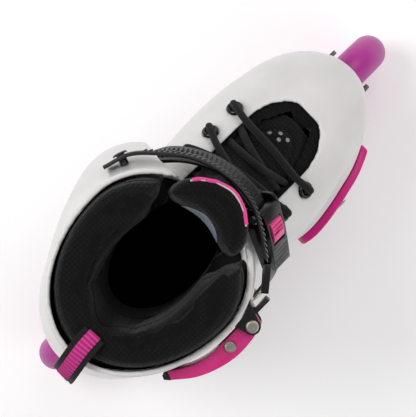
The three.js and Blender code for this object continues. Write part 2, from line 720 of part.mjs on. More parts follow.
function bucklePinHole() {
  const radius = clearOf(leverPinRadius + 0.15, 14);
  const hole = turned([[0, -20], [radius, -20], [radius, 20], [0, 20]], 14).rotateX(Math.PI / 2);
  return solid(hole.translate(bucklePin.x, 0, bucklePin.z));
}

function buckleLever() {
  const half = buckleWidth / 2 - 2 - gap;
  const side = outlineOf([[7, 3.8], [7.5, 8.4], [10.5, 10], [20, 10], [36, 6.8], [46, 4.4], [51, 2.6], [50, 1], [45, 1],
    [34, 3.4], [22, 3.6], [14, 2.1], [9, 2.1]]);
  const body = solid(sidePrism(side, -half, half));
  const pocket = solid(block([16, 33], [-half + 2.4, half - 2.4], [5.6, 14]));
  return body.subtract(pocket).subtract(bucklePinHole());
}

function releaseTab() {
  const half = buckleWidth / 2 - 2 - gap - 2.4 - gap;
  const side = outlineOf([[16.5, 6], [32, 6], [31, 8.6], [24, 11], [17.5, 10.8]]);
  return solid(sidePrism(side, -half, half));
}

function baseStrap() {
  const lead = vec(1, 0, 0).transformDirection(buckleFrame());
  const down = (distance, drop) => buckleHead.clone().addScaledVector(lead, distance).addScaledVector(buckleOut, -drop);
  const knots = [
    { at: down(39, 6.4).toArray(), out: buckleOut.toArray(), width: 15 },
    { at: down(47, 6.4).toArray(), out: buckleOut.toArray(), width: 15 },
    { at: [4, -56.6, 171], out: [0.2, -1, 0.2], width: 16 }, { at: [-8, -59.5, 160], out: [0, -1, 0.1], width: 18 },
    { at: [-16, -59, 152], out: [-0.05, -1, 0.1], width: 18 },
  ];
  return solid(ribbon(stations(knots, 16), 1.8));
}

function instepFastening() {
  const matrix = buckleFrame();
  const strapBolt = instepStrapBolt();
  const strap = solid(ribbon(instepStrap(), strapThickness, toothHeight)).subtract(rivetHole(strapBolt));
  place("instep_ladder_strap", shape(strap), black);
  rivet("instep_strap_bolt", strapBolt, -5, 1.6);
  place("buckle_base", shape(buckleBase()), black, matrix);
  place("buckle_lever", shape(buckleLever()), black, matrix);
  place("buckle_release_tab", shape(releaseTab()), pink, matrix);
  const half = buckleWidth / 2 + 0.4;
  const pin = turned([[0, -half], [leverPinRadius, -half], [leverPinRadius, half], [leverPinRadius + 1.2, half],
    [leverPinRadius + 0.6, half + 1.2], [0, half + 1.2]], 14).rotateX(Math.PI / 2);
  place("buckle_pin", pin.translate(bucklePin.x, 0, bucklePin.z), steel, matrix);
  const tailRivet = matrix.clone().multiply(new THREE.Matrix4().makeTranslation(42, 0, 0));
  const boltAt = frameAt(vec(-12.5, -59.3, 155), vec(0, -1, 0.1), vec(1, 0, 0));
  const strapBody = baseStrap().subtract(rivetHole(tailRivet)).subtract(rivetHole(boltAt));
  place("buckle_base_strap", shape(strapBody), black);
  rivet("buckle_strap_bolt", boltAt, -8, 1.8);
}

// Cuff strap, catch, link and lever
const strapHeight = 262;

function cuffStrap() {
  const knots = [
    { at: [-16, 63.4, strapHeight], out: [0.05, 1, 0], width: 18 }, { at: [0, 58.6, strapHeight], out: [0.5, 0.9, 0], width: 18 },
    { at: [14, 46, strapHeight], out: [0.75, 0.7, 0], width: 16 }, { at: [27, 29, strapHeight], out: [0.85, 0.5, 0], width: 14 },
    { at: [33.5, 8, strapHeight], out: [1, 0.1, 0], width: 13 }, { at: [32.5, -12, strapHeight], out: [1, -0.3, 0], width: 13 },
    { at: [25, -28, strapHeight], out: [0.8, -0.65, 0], width: 13 }, { at: [14, -44, strapHeight], out: [0.75, -0.7, 0], width: 13 },
  ];
  return stations(knots, 30);
}

function cuffStrapBolt() {
  const root = cuffStrap()[3];
  return frameAt(root.at, root.out, vec(1, 0, 0));
}

const cuffSkin = (inset) => leg(inset, wingBulge, 230, 300, 6);

function cuffCatch() {
  const body = prism(outlineOf([[16, -47], [9, -53], [2.6, -58.5], [-0.5, -55], [5, -50], [12.5, -43.2]]), strapHeight - 8, strapHeight + 8);
  return solid(body).subtract(cuffSkin(-gap)).subtract(fatCuffStrap());
}

function fatCuffStrap() {
  const last = vec(14, -44, strapHeight);
  return solid(block([-4, 3], [-3, 3.6], [-7.2, 7.2])
    .applyMatrix4(new THREE.Matrix4().makeRotationZ(degrees(55)).setPosition(last)));
}

function leverBase() {
  const { x, y } = leverPivot;
  const plan = new THREE.Shape();
  plan.absarc(x, y, 5.2, Math.PI, 2 * Math.PI);
  plan.lineTo(x + 9, -54);
  plan.lineTo(x - 9, -54);
  let body = solid(prism(plan, leverLow - 3, leverHigh + 3));
  body = body.subtract(solid(block([x - 12, x + 8.5], [y - 7, -59.2], [leverLow - gap, leverHigh + gap])));
  return body.subtract(cuffSkin(-gap)).subtract(verticalHole(x, y));
}

function verticalHole(x, y) {
  const radius = clearOf(leverPinRadius + 0.15, 14);
  return solid(turned([[0, 230], [radius, 230], [radius, 300], [0, 300]], 14).translate(x, y, 0));
}

function cuffLever() {
  const { x, y } = leverPivot;
  const outside = new THREE.CatmullRomCurve3([vec(x + 3.6, y - 3.6, 0), vec(x - 7, -71, 0), vec(x - 20, -71.6, 0),
    vec(x - 33, -69, 0), vec(x - 45, -64, 0), vec(x - 57, -55, 0)]);
  const inside = new THREE.CatmullRomCurve3([vec(x - 55, -50, 0), vec(x - 43, -57, 0), vec(x - 31, -60.2, 0),
    vec(x - 17, -60.4, 0), vec(x, -60.4, 0), vec(x + 4.6, y + 2, 0)]);
  const plan = [...outside.getPoints(12), ...inside.getPoints(10)].map((p) => [p.x, p.y]);
  let body = solid(prism(outlineOf(plan), leverLow, leverHigh));
  body = body.subtract(solid(block([x - 24, x + 8], [-80, -55], [leverLow + 4, leverHigh - 4])));
  body = body.subtract(verticalHole(x, y)).subtract(verticalHole(x - leverArm, y));
  return body.subtract(cuffSkin(-0.8));
}

function cuffLink() {
  const { x, y } = leverPivot;
  const low = leverLow + 4 + gap;
  const high = leverHigh - 4 - gap;
  const arm = outlineOf([[x - leverArm - 3.2, y + 1.5], [x - leverArm, y + 3.2], [x, y + 5], [0, -58.6], [0.6, -61.6],
    [x, y + 2.8], [x - leverArm, y - 3.2], [x - leverArm - 3.2, y - 1.5]]);
  return solid(prism(arm, low, high)).subtract(verticalHole(x - leverArm, y)).subtract(cuffSkin(-0.6));
}

function cuffFastening() {
  const { x, y } = leverPivot;
  const bolt = cuffStrapBolt();
  const strap = solid(ribbon(cuffStrap(), strapThickness, toothHeight)).subtract(rivetHole(bolt));
  place("cuff_ladder_strap", shape(strap), black);
  rivet("cuff_strap_bolt", bolt, -5, 1.6);
  place("cuff_catch", shape(cuffCatch()), black);
  place("lever_bracket", shape(leverBase()), black);
  place("cuff_lever", shape(cuffLever()), pink);
  place("cuff_link", shape(cuffLink()), black);
  const low = leverLow + 4.5;
  const high = leverHigh + 3 + gap;
  const short = turned([[0, leverHigh - 3.5], [leverPinRadius, leverHigh - 3.5], [leverPinRadius, high], [4, high],
    [3.2, high + 1.6], [1.4, high + 1.6], [1.4, high + 0.8], [0, high + 0.8]], 14);
  place("lever_pivot_top", short, steel, new THREE.Matrix4().makeTranslation(x, y, 0));
  const under = short.clone().rotateX(Math.PI).translate(0, 0, leverLow + leverHigh);
  place("lever_pivot_bottom", under, steel, new THREE.Matrix4().makeTranslation(x, y, 0));
  const top = leverHigh + gap;
  const pin = turned([[0, leverLow - 0.5], [leverPinRadius, leverLow - 0.5], [leverPinRadius, top], [3.8, top], [3, top + 1.5],
    [1.4, top + 1.5], [1.4, top + 0.7], [0, top + 0.7]], 14);
  place("link_pin", pin, steel, new THREE.Matrix4().makeTranslation(x - leverArm, y, 0));
}

function pullTab() {
  const knots = [
    { at: [-79, -3, 312.1], out: [0.1, 0, 1], width: 15 }, { at: [-92, -4, 315], out: [-0.1, 0, 1], width: 15 },
    { at: [-104, -6, 311.2], out: [-0.5, 0, 1], width: 15 }, { at: [-112, -7.5, 303], out: [-1, 0, 0.5], width: 15 },
    { at: [-116, -8, 289], out: [-1, 0, 0.1], width: 15 },
  ];
  return ribbon(stations(knots, 14), 2.2);
}

// What the instep strap and its buckle press into the tongue.
function fasteningRoom() {
  const half = buckleWidth / 2 + gap;
  const base = solid(block([2 - gap, 49 + gap], [-half, half], [-4.9 - gap, 9]).applyMatrix4(buckleFrame()));
  return base.add(solid(ribbon(instepStrap(), strapThickness + 2 * gap, toothHeight)));
}

function softParts() {
  const laceSpace = solid(tube(lacePath(), clearOf(laceRadius + gap, 6), 76, 6));
  const tongue = tongueSolid(0).subtract(shellBite()).subtract(laceSpace).subtract(fasteningRoom());
  place("tongue", shape(largest(tongue)), fabric);
  place("liner_lower", shape(linerLowerShape(laceSpace)), fabric);
  place("liner_collar", shape(collarShape()), fabric);
  place("footbed", footbedShape(), fabric);
  place("pull_tab", pullTab(), webbing);
  place("lace", tube(lacePath(), laceRadius, 76, 8), fabric);
}

wheels();
place("frame", frameShape(), black);
frameBolts();
place("shell", shellShape(), white);
place("cuff", cuffShape(), white);
pivotBolts();
softParts();
eyelets();
place("side_slider", sliderShape(), magenta);
sliderScrew();
instepFastening();
cuffFastening();

export default skate;
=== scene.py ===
import math
import bpy
import bmesh
import numpy as np
from mathutils import Matrix, Vector
from mathutils.kdtree import KDTree


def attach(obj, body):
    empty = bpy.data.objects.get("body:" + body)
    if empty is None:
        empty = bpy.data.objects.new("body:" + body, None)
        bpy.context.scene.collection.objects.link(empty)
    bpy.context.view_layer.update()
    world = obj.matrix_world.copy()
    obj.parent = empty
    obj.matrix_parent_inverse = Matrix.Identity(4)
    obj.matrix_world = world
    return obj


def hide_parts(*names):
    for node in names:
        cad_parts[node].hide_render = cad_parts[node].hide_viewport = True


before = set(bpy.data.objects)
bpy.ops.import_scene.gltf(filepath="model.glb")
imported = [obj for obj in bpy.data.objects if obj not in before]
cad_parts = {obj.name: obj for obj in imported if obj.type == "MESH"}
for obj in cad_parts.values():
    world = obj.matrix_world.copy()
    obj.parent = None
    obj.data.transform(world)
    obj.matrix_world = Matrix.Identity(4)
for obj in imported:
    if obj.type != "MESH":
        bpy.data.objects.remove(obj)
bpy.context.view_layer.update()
mm = 0.001  # the recipes below are in millimetres


def hexColor(code):
    channels = [int(code[i:i + 2], 16) / 255 for i in (1, 3, 5)]
    return tuple(c / 12.92 if c <= 0.04045 else ((c + 0.055) / 1.055) ** 2.4 for c in channels) + (1.0,)


def addNode(mat, kind, inputs=None, **settings):
    made = mat.node_tree.nodes.new(kind)
    for key, value in settings.items():
        setattr(made, key, value)
    for name, value in (inputs or {}).items():
        if isinstance(value, bpy.types.NodeSocket):
            mat.node_tree.links.new(value, made.inputs[name])
        else:
            made.inputs[name].default_value = value
    return made


def startMaterial(name, color, roughness, **more):
    mat = bpy.data.materials.new(name)
    mat.use_nodes = True
    shader = mat.node_tree.nodes["Principled BSDF"]
    shader.inputs["Base Color"].default_value = hexColor(color)
    shader.inputs["Roughness"].default_value = roughness
    for key, value in more.items():
        shader.inputs[key.replace("_", " ")].default_value = value
    place = addNode(mat, "ShaderNodeTexCoord").outputs["Object"]
    return mat, shader, place


def tint(mat, shader, factor, dark, light, low=0.3, high=0.7):
    ramp = addNode(mat, "ShaderNodeValToRGB", {"Fac": factor})
    ramp.color_ramp.elements[0].position = low
    ramp.color_ramp.elements[1].position = high
    ramp.color_ramp.elements[0].color = hexColor(dark)
    ramp.color_ramp.elements[1].color = hexColor(light)
    mat.node_tree.links.new(ramp.outputs["Color"], shader.inputs["Base Color"])


def rough(mat, shader, factor, low, high):
    spread = addNode(mat, "ShaderNodeMapRange", {"Value": factor, "To Min": low, "To Max": high})
    mat.node_tree.links.new(spread.outputs["Result"], shader.inputs["Roughness"])


def bump(mat, shader, height, depth, strength=1.0, edge=0.0):
    made = addNode(mat, "ShaderNodeBump", {"Height": height, "Distance": depth * mm, "Strength": strength})
    if edge:
        rounded = addNode(mat, "ShaderNodeBevel", {"Radius": edge * mm}, samples=6)
        mat.node_tree.links.new(rounded.outputs["Normal"], made.inputs["Normal"])
    mat.node_tree.links.new(made.outputs["Normal"], shader.inputs["Normal"])


def noise(mat, place, size, detail=3.0, roughness=0.5):
    # size is the width in millimetres of one light or dark patch
    return addNode(mat, "ShaderNodeTexNoise", {"Vector": place, "Scale": 1 / (size * mm), "Detail": detail,
                                               "Roughness": roughness}).outputs["Fac"]


def mouldedShell():
    # injection-moulded polyurethane shell: soft gloss, faint flow mottling and a fine orange peel
    mat, shader, place = startMaterial("mouldedShell", "#DFDDDC", 0.3, Coat_Weight=0.12, Coat_Roughness=0.2)
    tint(mat, shader, noise(mat, place, 26, 4), "#D9D7D6", "#E4E2E1", 0.25, 0.75)
    rough(mat, shader, noise(mat, place, 9, 5, 0.65), 0.24, 0.4)
    bump(mat, shader, noise(mat, place, 1.6, 2), 0.05, 0.5, 0.9)
    return mat


def mouldedPlastic(name, color, dark, grain, gloss, edge=0.35):
    # injection-moulded nylon with a spark-eroded grain
    mat, shader, place = startMaterial(name, color, gloss)
    tint(mat, shader, noise(mat, place, 7, 4), dark, color, 0.2, 0.65)
    rough(mat, shader, noise(mat, place, 4, 5, 0.7), gloss - 0.08, gloss + 0.14)
    bump(mat, shader, noise(mat, place, grain, 2), 0.06, 0.6, edge)
    return mat


def castUrethane():
    # cast urethane: slightly cloudy colour, light lets into the surface, dusty wear on the crown
    mat, shader, place = startMaterial("castUrethane", "#C4389A", 0.36, Subsurface_Weight=0.12,
                                       Subsurface_Scale=0.004)
    tint(mat, shader, noise(mat, place, 12, 5), "#A92A8C", "#C03A9C", 0.25, 0.75)
    rough(mat, shader, noise(mat, place, 2.5, 6, 0.7), 0.28, 0.5)
    bump(mat, shader, noise(mat, place, 0.9, 3), 0.05, 0.4)
    return mat


def turnedSteel(name, color, gloss):
    # zinc-plated or ground steel: fine turning marks
    mat, shader, place = startMaterial(name, color, gloss, Metallic=1.0)
    rough(mat, shader, noise(mat, place, 1.2, 6, 0.7), gloss - 0.06, gloss + 0.16)
    bump(mat, shader, noise(mat, place, 0.5, 3), 0.02, 0.5, 0.25)
    return mat


def anodisedFrame():
    # extruded aluminium, bead blasted and black anodised: fine sparkle and a satin sheen
    mat, shader, place = startMaterial("anodisedFrame", "#0F0F11", 0.42, Metallic=0.5)
    tint(mat, shader, noise(mat, place, 5, 4), "#0B0B0D", "#151518", 0.3, 0.7)
    rough(mat, shader, noise(mat, place, 1, 6, 0.7), 0.34, 0.54)
    bump(mat, shader, noise(mat, place, 0.5, 2), 0.03, 0.6, 0.4)
    return mat


def spacerMesh():
    # warp-knit spacer mesh over foam: rows of small open cells about 2 mm apart, with a dusty nap
    mat, shader, place = startMaterial("spacerMesh", "#101011", 0.95, Sheen_Weight=0.08, Sheen_Roughness=0.5,
                                       Specular_IOR_Level=0.2)
    cells = addNode(mat, "ShaderNodeTexVoronoi", {"Vector": place, "Scale": 1 / (2.3 * mm), "Randomness": 0.25},
                    feature="DISTANCE_TO_EDGE").outputs["Distance"]
    nap = noise(mat, place, 0.7, 3, 0.6)
    mix = addNode(mat, "ShaderNodeMath", {0: cells, 1: nap}, operation="MULTIPLY_ADD")
    mix.inputs[2].default_value = 0.0
    both = addNode(mat, "ShaderNodeMath", {0: cells, 1: mix.outputs[0]}, operation="ADD").outputs[0]
    tint(mat, shader, both, "#030303", "#111113", 0.02, 0.5)
    bump(mat, shader, both, 0.5, 0.9)
    return mat


def liningKnit(name, color, dark):
    # brushed tricot lining: soft, almost no pattern, a light nap that greys at grazing angles
    mat, shader, place = startMaterial(name, color, 0.95, Sheen_Weight=0.1, Sheen_Roughness=0.4,
        Specular_IOR_Level=0.2)
    tint(mat, shader, noise(mat, place, 6, 5, 0.6), dark, color, 0.3, 0.7)
    ribs = addNode(mat, "ShaderNodeTexWave", {"Vector": place, "Scale": 0.32 / (1.4 * mm), "Distortion": 1.5,
                                              "Detail": 2.0}).outputs["Fac"]
    bump(mat, shader, ribs, 0.12, 0.5)
    return mat


def wovenTape(name, color, dark, pitch):
    # woven nylon tape on its own length: ribs across it every pitch millimetres, warp threads along it
    mat, shader = startMaterial(name, color, 0.8, Sheen_Weight=0.1, Specular_IOR_Level=0.3)[:2]
    uv = addNode(mat, "ShaderNodeUVMap", uv_map="length").outputs["UV"]
    ribs = addNode(mat, "ShaderNodeTexWave", {"Vector": uv, "Scale": 0.314 / (pitch * mm)},
                   bands_direction="X").outputs["Fac"]
    threads = addNode(mat, "ShaderNodeTexWave", {"Vector": uv, "Scale": 0.314 / (0.9 * mm)},
                      bands_direction="Y").outputs["Fac"]
    both = addNode(mat, "ShaderNodeMath", {0: ribs, 1: threads}, operation="ADD").outputs[0]
    tint(mat, shader, both, dark, color, 0.2, 0.9)
    bump(mat, shader, both, 0.25, 0.8)
    return mat


def braidedCord():
    # round polyester braid: a crossing of strands that reads as a fine diamond pattern along the lace
    mat, shader = startMaterial("braidedCord", "#0D0D0E", 0.8, Sheen_Weight=0.08, Specular_IOR_Level=0.25)[:2]
    uv = addNode(mat, "ShaderNodeUVMap", uv_map="length").outputs["UV"]
    strands = []
    for turn in (0.9, -0.9):
        spun = addNode(mat, "ShaderNodeMapping", {"Vector": uv, "Rotation": (0, 0, turn)}).outputs["Vector"]
        strands.append(addNode(mat, "ShaderNodeTexWave",
            {"Vector": spun, "Scale": 0.314 / (1.3 * mm)}).outputs["Fac"])
    both = addNode(mat, "ShaderNodeMath", {0: strands[0], 1: strands[1]}, operation="MAXIMUM").outputs[0]
    tint(mat, shader, both, "#050506", "#1A1A1C", 0.2, 0.95)
    bump(mat, shader, both, 0.3, 0.9)
    return mat


materials = {
    "shell": mouldedShell(),
    "black": mouldedPlastic("blackNylon", "#0E0E0F", "#080809", 0.7, 0.36),
    "gloss": mouldedPlastic("blackGloss", "#0B0B0C", "#060607", 1.4, 0.22),
    "slider": mouldedPlastic("sliderNylon", "#DE0A8A", "#C90579", 0.8, 0.36),
    "core": mouldedPlastic("coreNylon", "#C2178A", "#A80F76", 0.8, 0.38),
    "pink": mouldedPlastic("leverNylon", "#DD2F86", "#CC2277", 1.0, 0.27),
    "tab": mouldedPlastic("tabNylon", "#F04C97", "#DF3F88", 1.0, 0.28),
    "urethane": castUrethane(),
    "steel": turnedSteel("platedSteel", "#B7B1A6", 0.28),
    "bearing": turnedSteel("groundSteel", "#B8BABF", 0.24),
    "frame": anodisedFrame(),
    "mesh": spacerMesh(),
    "lining": liningKnit("blackTricot", "#0D0D0E", "#070708"),
    "patch": liningKnit("greyTricot", "#8E9AA8", "#7D8997"),
    "footbed": liningKnit("footbedKnit", "#141416", "#0C0C0E"),
    "trim": wovenTape("pinkBinding", "#FF4FA8", "#E23C92", 1.2),
    "cream": wovenTape("creamBinding", "#EFE6E2", "#D9CFCB", 1.2),
    "binding": wovenTape("blackBinding", "#0F0F11", "#070708", 1.2),
    "webbing": wovenTape("pinkWebbing", "#DB3E9C", "#A9276F", 2.6),
    "lace": braidedCord(),
    "thread": liningKnit("sewingThread", "#2C2C30", "#1F1F22"),
    "reflective": mouldedPlastic("reflectiveFilm", "#8B8C90", "#77787C", 0.6, 0.35),
}
print("materials", len(materials))


def smooth(*knots):
    at = [k[0] for k in knots]
    value = [k[1] for k in knots]

    def read(x):
        x = min(at[-1], max(at[0], x))
        i = min(len(at) - 1, max(1, int(np.searchsorted(at, x, "right"))))
        t0, t1 = at[i - 1], at[i]
        before = i - 2 if i > 1 else i
        after = i + 1 if i + 1 < len(at) else i - 1
        tb = at[before] if i > 1 else t1
        ta = at[after] if i + 1 < len(at) else t0
        half = (t1 - t0) / 2
        wp, wn = half / (t0 - tb), half / (ta - t1)
        p = (x - t0) / (t1 - t0)
        sp = -wp * p ** 3 + 2 * wp * p * p - wp * p
        s0 = (1 + wp) * p ** 3 + (-1.5 - 2 * wp) * p * p + (-0.5 + wp) * p + 1
        s1 = (-1 - wn) * p ** 3 + (1.5 + wn) * p * p + 0.5 * p
        sn = wn * p ** 3 - wn * p * p
        return sp * value[before] + s0 * value[i - 1] + s1 * value[i] + sn * value[after]
    return read


def through(points, count, closed=False):
    # centripetal Catmull-Rom curve through the points, count + 1 samples, even in the point index
    pts = [np.array(p, float) for p in points]
    n = len(pts)
    out = []
    for t in np.linspace(0, 1, count + 1):
        p = (n if closed else n - 1) * t
        i = int(math.floor(p))
        w = p - i
        if not closed and i >= n - 1:
            i, w = n - 2, 1.0
        get = (lambda k: pts[k % n]) if closed else (lambda k: pts[k] if 0 <= k < n else
                                                     (2 * pts[0] - pts[1] if k < 0 else 2 * pts[-1] - pts[-2]))
        a, b, c, d = get(i - 1), get(i), get(i + 1), get(i + 2)
        d1 = max(1e-4, np.linalg.norm(c - b) ** 0.5)
        d0 = np.linalg.norm(b - a) ** 0.5 or d1
        d2 = np.linalg.norm(d - c) ** 0.5 or d1
        m1 = ((b - a) / d0 - (c - a) / (d0 + d1) + (c - b) / d1) * d1
        m2 = ((c - b) / d1 - (d - b) / (d1 + d2) + (d - c) / d2) * d1
        out.append(b + m1 * w + (3 * (c - b) - 2 * m1 - m2) * w * w + (2 * (b - c) + m1 + m2) * w ** 3)
    return np.array(out)


def evenly(line, count):
    line = np.array(line)
    run = np.concatenate([[0], np.cumsum(np.linalg.norm(np.diff(line, axis=0), axis=1))])
    want = np.linspace(0, run[-1], count + 1)
    return np.stack([np.interp(want, run, line[:, k]) for k in range(line.shape[1])], 1)


def unit(v):
    v = np.array(v, float)
    return v / np.linalg.norm(v)


def body(name, verts, faces, outward=True):
    mesh = bpy.data.meshes.new(name)
    mesh.from_pydata((np.array(verts) * mm).tolist(), [], faces)
    if outward:
        bm = bmesh.new()
        bm.from_mesh(mesh)
        bmesh.ops.remove_doubles(bm, verts=bm.verts, dist=1e-6)
        bmesh.ops.recalc_face_normals(bm, faces=bm.faces)
        bm.to_mesh(mesh)
        bm.free()
    obj = bpy.data.objects.new(name, mesh)
    bpy.context.collection.objects.link(obj)
    return obj


def loft(name, rings):
    rings = np.array(rings)
    n, k = rings.shape[:2]
    faces = [(i * k + j, i * k + (j + 1) % k, (i + 1) * k + (j + 1) % k, (i + 1) * k + j)
             for i in range(n - 1) for j in range(k)]
    faces += [tuple(range(k))[::-1], tuple((n - 1) * k + j for j in range(k))]
    return body(name, rings.reshape(-1, 3), faces)


def turned(name, profile, segments, matrix=None):
    # radius and height pairs round Z, closed on itself unless it ends on the axis
    angles = np.linspace(0, 2 * math.pi, segments, endpoint=False)
    onAxis = abs(profile[0][0]) < 1e-6
    rows = [np.array([[max(r, 0) * math.cos(a), max(r, 0) * math.sin(a), z] for a in angles]) for r,
        z in profile]
    n = len(rows)
    last = n - 1 if onAxis else n
    faces = [(i * segments + j, i * segments + (j + 1) % segments,
              ((i + 1) % n) * segments + (j + 1) % segments, ((i + 1) % n) * segments + j)
             for i in range(last) for j in range(segments)]
    obj = body(name, np.concatenate(rows), faces)
    if matrix is not None:
        obj.data.transform(matrix)
    return obj


def prism(name, outline, low, high, axis="Z"):
    flat = [(p[0], p[1]) for p in outline]
    k = len(flat)
    put = {"Z": lambda a, b, c: (a, b, c), "Y": lambda a, b, c: (a, c, b)}[axis]
    verts = [put(a, b, low) for a, b in flat] + [put(a, b, high) for a, b in flat]
    faces = [(j, (j + 1) % k, k + (j + 1) % k, k + j) for j in range(k)]
    return body(name, verts, faces + [tuple(range(k))[::-1], tuple(range(k, 2 * k))])


def hole(radius, matrix, low=-20, high=20, segments=32):
    # a round cutter along Z from low to high
    return turned("hole", [(0, low), (radius, low), (radius, high), (0, high)], segments, matrix)


def block(name, x, y, z):
    return prism(name, [(x[0], y[0]), (x[1], y[0]), (x[1], y[1]), (x[0], y[1])], z[0], z[1])


def settle(obj):
    # bakes the modifiers into the mesh
    plain = bpy.data.meshes.new_from_object(obj.evaluated_get(bpy.context.evaluated_depsgraph_get()))
    obj.modifiers.clear()
    obj.data = plain
    return obj


def carve(obj, cutter, operation="DIFFERENCE"):
    mod = obj.modifiers.new("carve", "BOOLEAN")
    mod.operation = operation
    mod.solver = "MANIFOLD"
    mod.object = cutter
    settle(obj)
    bpy.data.objects.remove(cutter)
    return obj


def bevel(obj, width, segments=3, angle=40):
    mod = obj.modifiers.new("bevel", "BEVEL")
    mod.width = width * mm
    mod.segments = segments
    mod.limit_method = "ANGLE"
    mod.angle_limit = math.radians(angle)
    return settle(obj)


def subdivide(obj, levels=1):
    mod = obj.modifiers.new("subdivide", "SUBSURF")
    mod.levels = mod.render_levels = levels
    return settle(obj)


def finishPiece(obj, material, bodyName, nodes=(), crease=38):
    obj.data.materials.clear()
    for item in material if isinstance(material, (list, tuple)) else [material]:
        obj.data.materials.append(materials[item])
    obj.data.shade_smooth()
    obj.data.set_sharp_from_angle(angle=math.radians(crease))
    if nodes:
        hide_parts(*nodes)
    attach(obj, bodyName)
    return obj


def frameAt(point, normal, heading):
    z = unit(normal)
    y = unit(np.cross(z, heading))
    x = np.cross(y, z)
    turn = np.eye(4)
    turn[:3, 0], turn[:3, 1], turn[:3, 2] = x, y, z
    turn[:3, 3] = np.array(point) * mm
    return Matrix(turn.tolist())


boot = {"toeX": 133, "heelX": -121, "toeStart": 80, "heelStart": -86, "middleZ": 105, "soleZ": 86.35,
        "shellWall": 3.5, "cuffWall": 3.4, "cuffClearance": 1.3, "pivotX": -50, "pivotZ": 168,
        "stillRadius": 62, "flapAngle": 40}
innerHalf = smooth((-121, 38), (-85, 40), (-40, 43), (5, 49), (42, 51), (64, 50), (84, 47), (133, 45))
outerHalf = smooth((-121, 38), (-85, 41), (-40, 46), (10, 52), (39, 56.5), (60, 54), (77, 50), (103, 44),
    (133, 40))
instep = smooth((-121, 148), (-60, 190), (0, 206), (20, 199), (41, 178), (62, 162), (93, 145), (115, 137),
    (133, 130))
legHalf = smooth((85, 43), (120, 48), (150, 56), (180, 60), (230, 60), (265, 58.5), (290, 57.5), (330, 57.5))
legBack = smooth((85, -120), (130, -122), (160, -122), (225, -121), (260, -113.5), (290, -106), (330, -98))
legCentre, legFront, wingBulge, wingHeight = -28, 22, 12, 217


def signedPower(v, p):
    return np.sign(v) * np.abs(v) ** p


def endRound(x, inset):
    toe = max(0, (x - boot["toeStart"]) / (boot["toeX"] - inset - boot["toeStart"]))
    heel = max(0, (boot["heelStart"] - x) / (boot["heelStart"] - boot["heelX"] - inset))
    return math.sqrt(max(0, 1 - toe ** 2)) * math.sqrt(max(0, 1 - heel ** 2))


def soleRise(x):
    return 8 * max(0, (x - 95) / (boot["toeX"] - 95)) ** 2


def creases(x, y, z):
    # soft moulded folds: a ridge from the toe cap to each side of the opening, and a step above the slider
    lift = 0.8 * math.exp(-((y - 27 + 0.2 * (x - 70)) / 4) ** 2) * math.exp(-((x - 100) / 26) ** 2)
    lift += 0.8 * math.exp(-((y + 22 - 0.1 * (x - 70)) / 4) ** 2) * math.exp(-((x - 100) / 26) ** 2)
    if y < 0:
        above = z - 119 - 0.05 * (70 - x)
        step = 1 / (1 + math.exp(-above / 0.9)) * math.exp(-max(0, above) / 9)
        lift -= 2.1 * step * math.exp(-((x - 62) / 44) ** 4)
    return lift


def footRing(x, inset, count, folds=False):
    r = endRound(x, inset)
    a = np.linspace(0, 2 * math.pi, count, endpoint=False)
    c, s = np.cos(a), np.sin(a)
    p = np.where(s > 0, 2 / 2.4, 2 / 4)
    side = np.where(c > 0, (innerHalf(x) - inset) * r, (outerHalf(x) - inset) * r)
    up = np.where(s > 0, (instep(x) - inset - boot["middleZ"]) * r ** 0.8,
                  (boot["middleZ"] - boot["soleZ"] - soleRise(x) - inset) * r ** 0.5)
    y = signedPower(c, p) * side
    z = boot["middleZ"] + signedPower(s, p) * up
    ring = np.stack([np.full(count, x), y, z], 1)
    if folds:
        away = np.stack([np.zeros(count), c, np.maximum(s, 0)], 1)
        ring += away * np.array([[creases(*q)] for q in ring])
    return ring


def foot(name, inset, count=96, steps=84, folds=False):
    mid = (boot["toeX"] + boot["heelX"]) / 2
    reach = (boot["toeX"] - boot["heelX"]) / 2 - inset
    xs = [mid + reach * math.sin(t * math.pi / 2) for t in np.linspace(-0.985, 0.985, steps + 1)]
    return loft(name, [footRing(x, inset, count, folds) for x in xs])


def skinHeight(x, y):
    r = endRound(x, 0)
    half = (innerHalf(x) if y > 0 else outerHalf(x)) * r
    up = (instep(x) - boot["middleZ"]) * r ** 0.8
    return boot["middleZ"] + up * max(0, 1 - abs(y / half) ** 2.4) ** (1 / 2.4)


def skinNormal(x, y):
    return unit([-(skinHeight(x + 1, y) - skinHeight(x - 1, y)) / 2,
        -(skinHeight(x, y + 1) - skinHeight(x, y - 1)) / 2, 1])


def wingReach(z):
    return math.exp(-((z - wingHeight) / (45 if z < wingHeight else 34)) ** 2)


def legPoint(z, inset, bulge, angle):
    c, s = math.cos(angle), math.sin(angle)
    reach = (legFront - legCentre - inset) if c > 0 else (legCentre - legBack(z) - inset)
    share = ((1 + 0.6 * c) * min(1, 3 * s) if c > 0 else max(0, 1 + 1.6 * c) * s) if s > 0 else 0
    return [legCentre + c * reach, (legHalf(z) - inset) * s + bulge * wingReach(z) * share, z]


def leg(name, inset, bulge, low, high, steps=40, count=120):
    depth = inset if callable(inset) else (lambda z: inset)
    angles = np.linspace(0, 2 * math.pi, count, endpoint=False)
    return loft(name, [[legPoint(z, depth(z), bulge, a) for a in angles] for z in np.linspace(low, high,
        steps + 1)])


def shellLeg(name, depth, low, high):
    clear = boot["cuffWall"] + boot["cuffClearance"]
    return leg(name, lambda z: clear + 0.05 * max(0, z - boot["pivotZ"]) + depth, 0, low, high, 30, 110)


def arcPoint(radius, angle):
    return (boot["pivotX"] + radius * math.cos(math.radians(angle)),
        boot["pivotZ"] + radius * math.sin(math.radians(angle)))


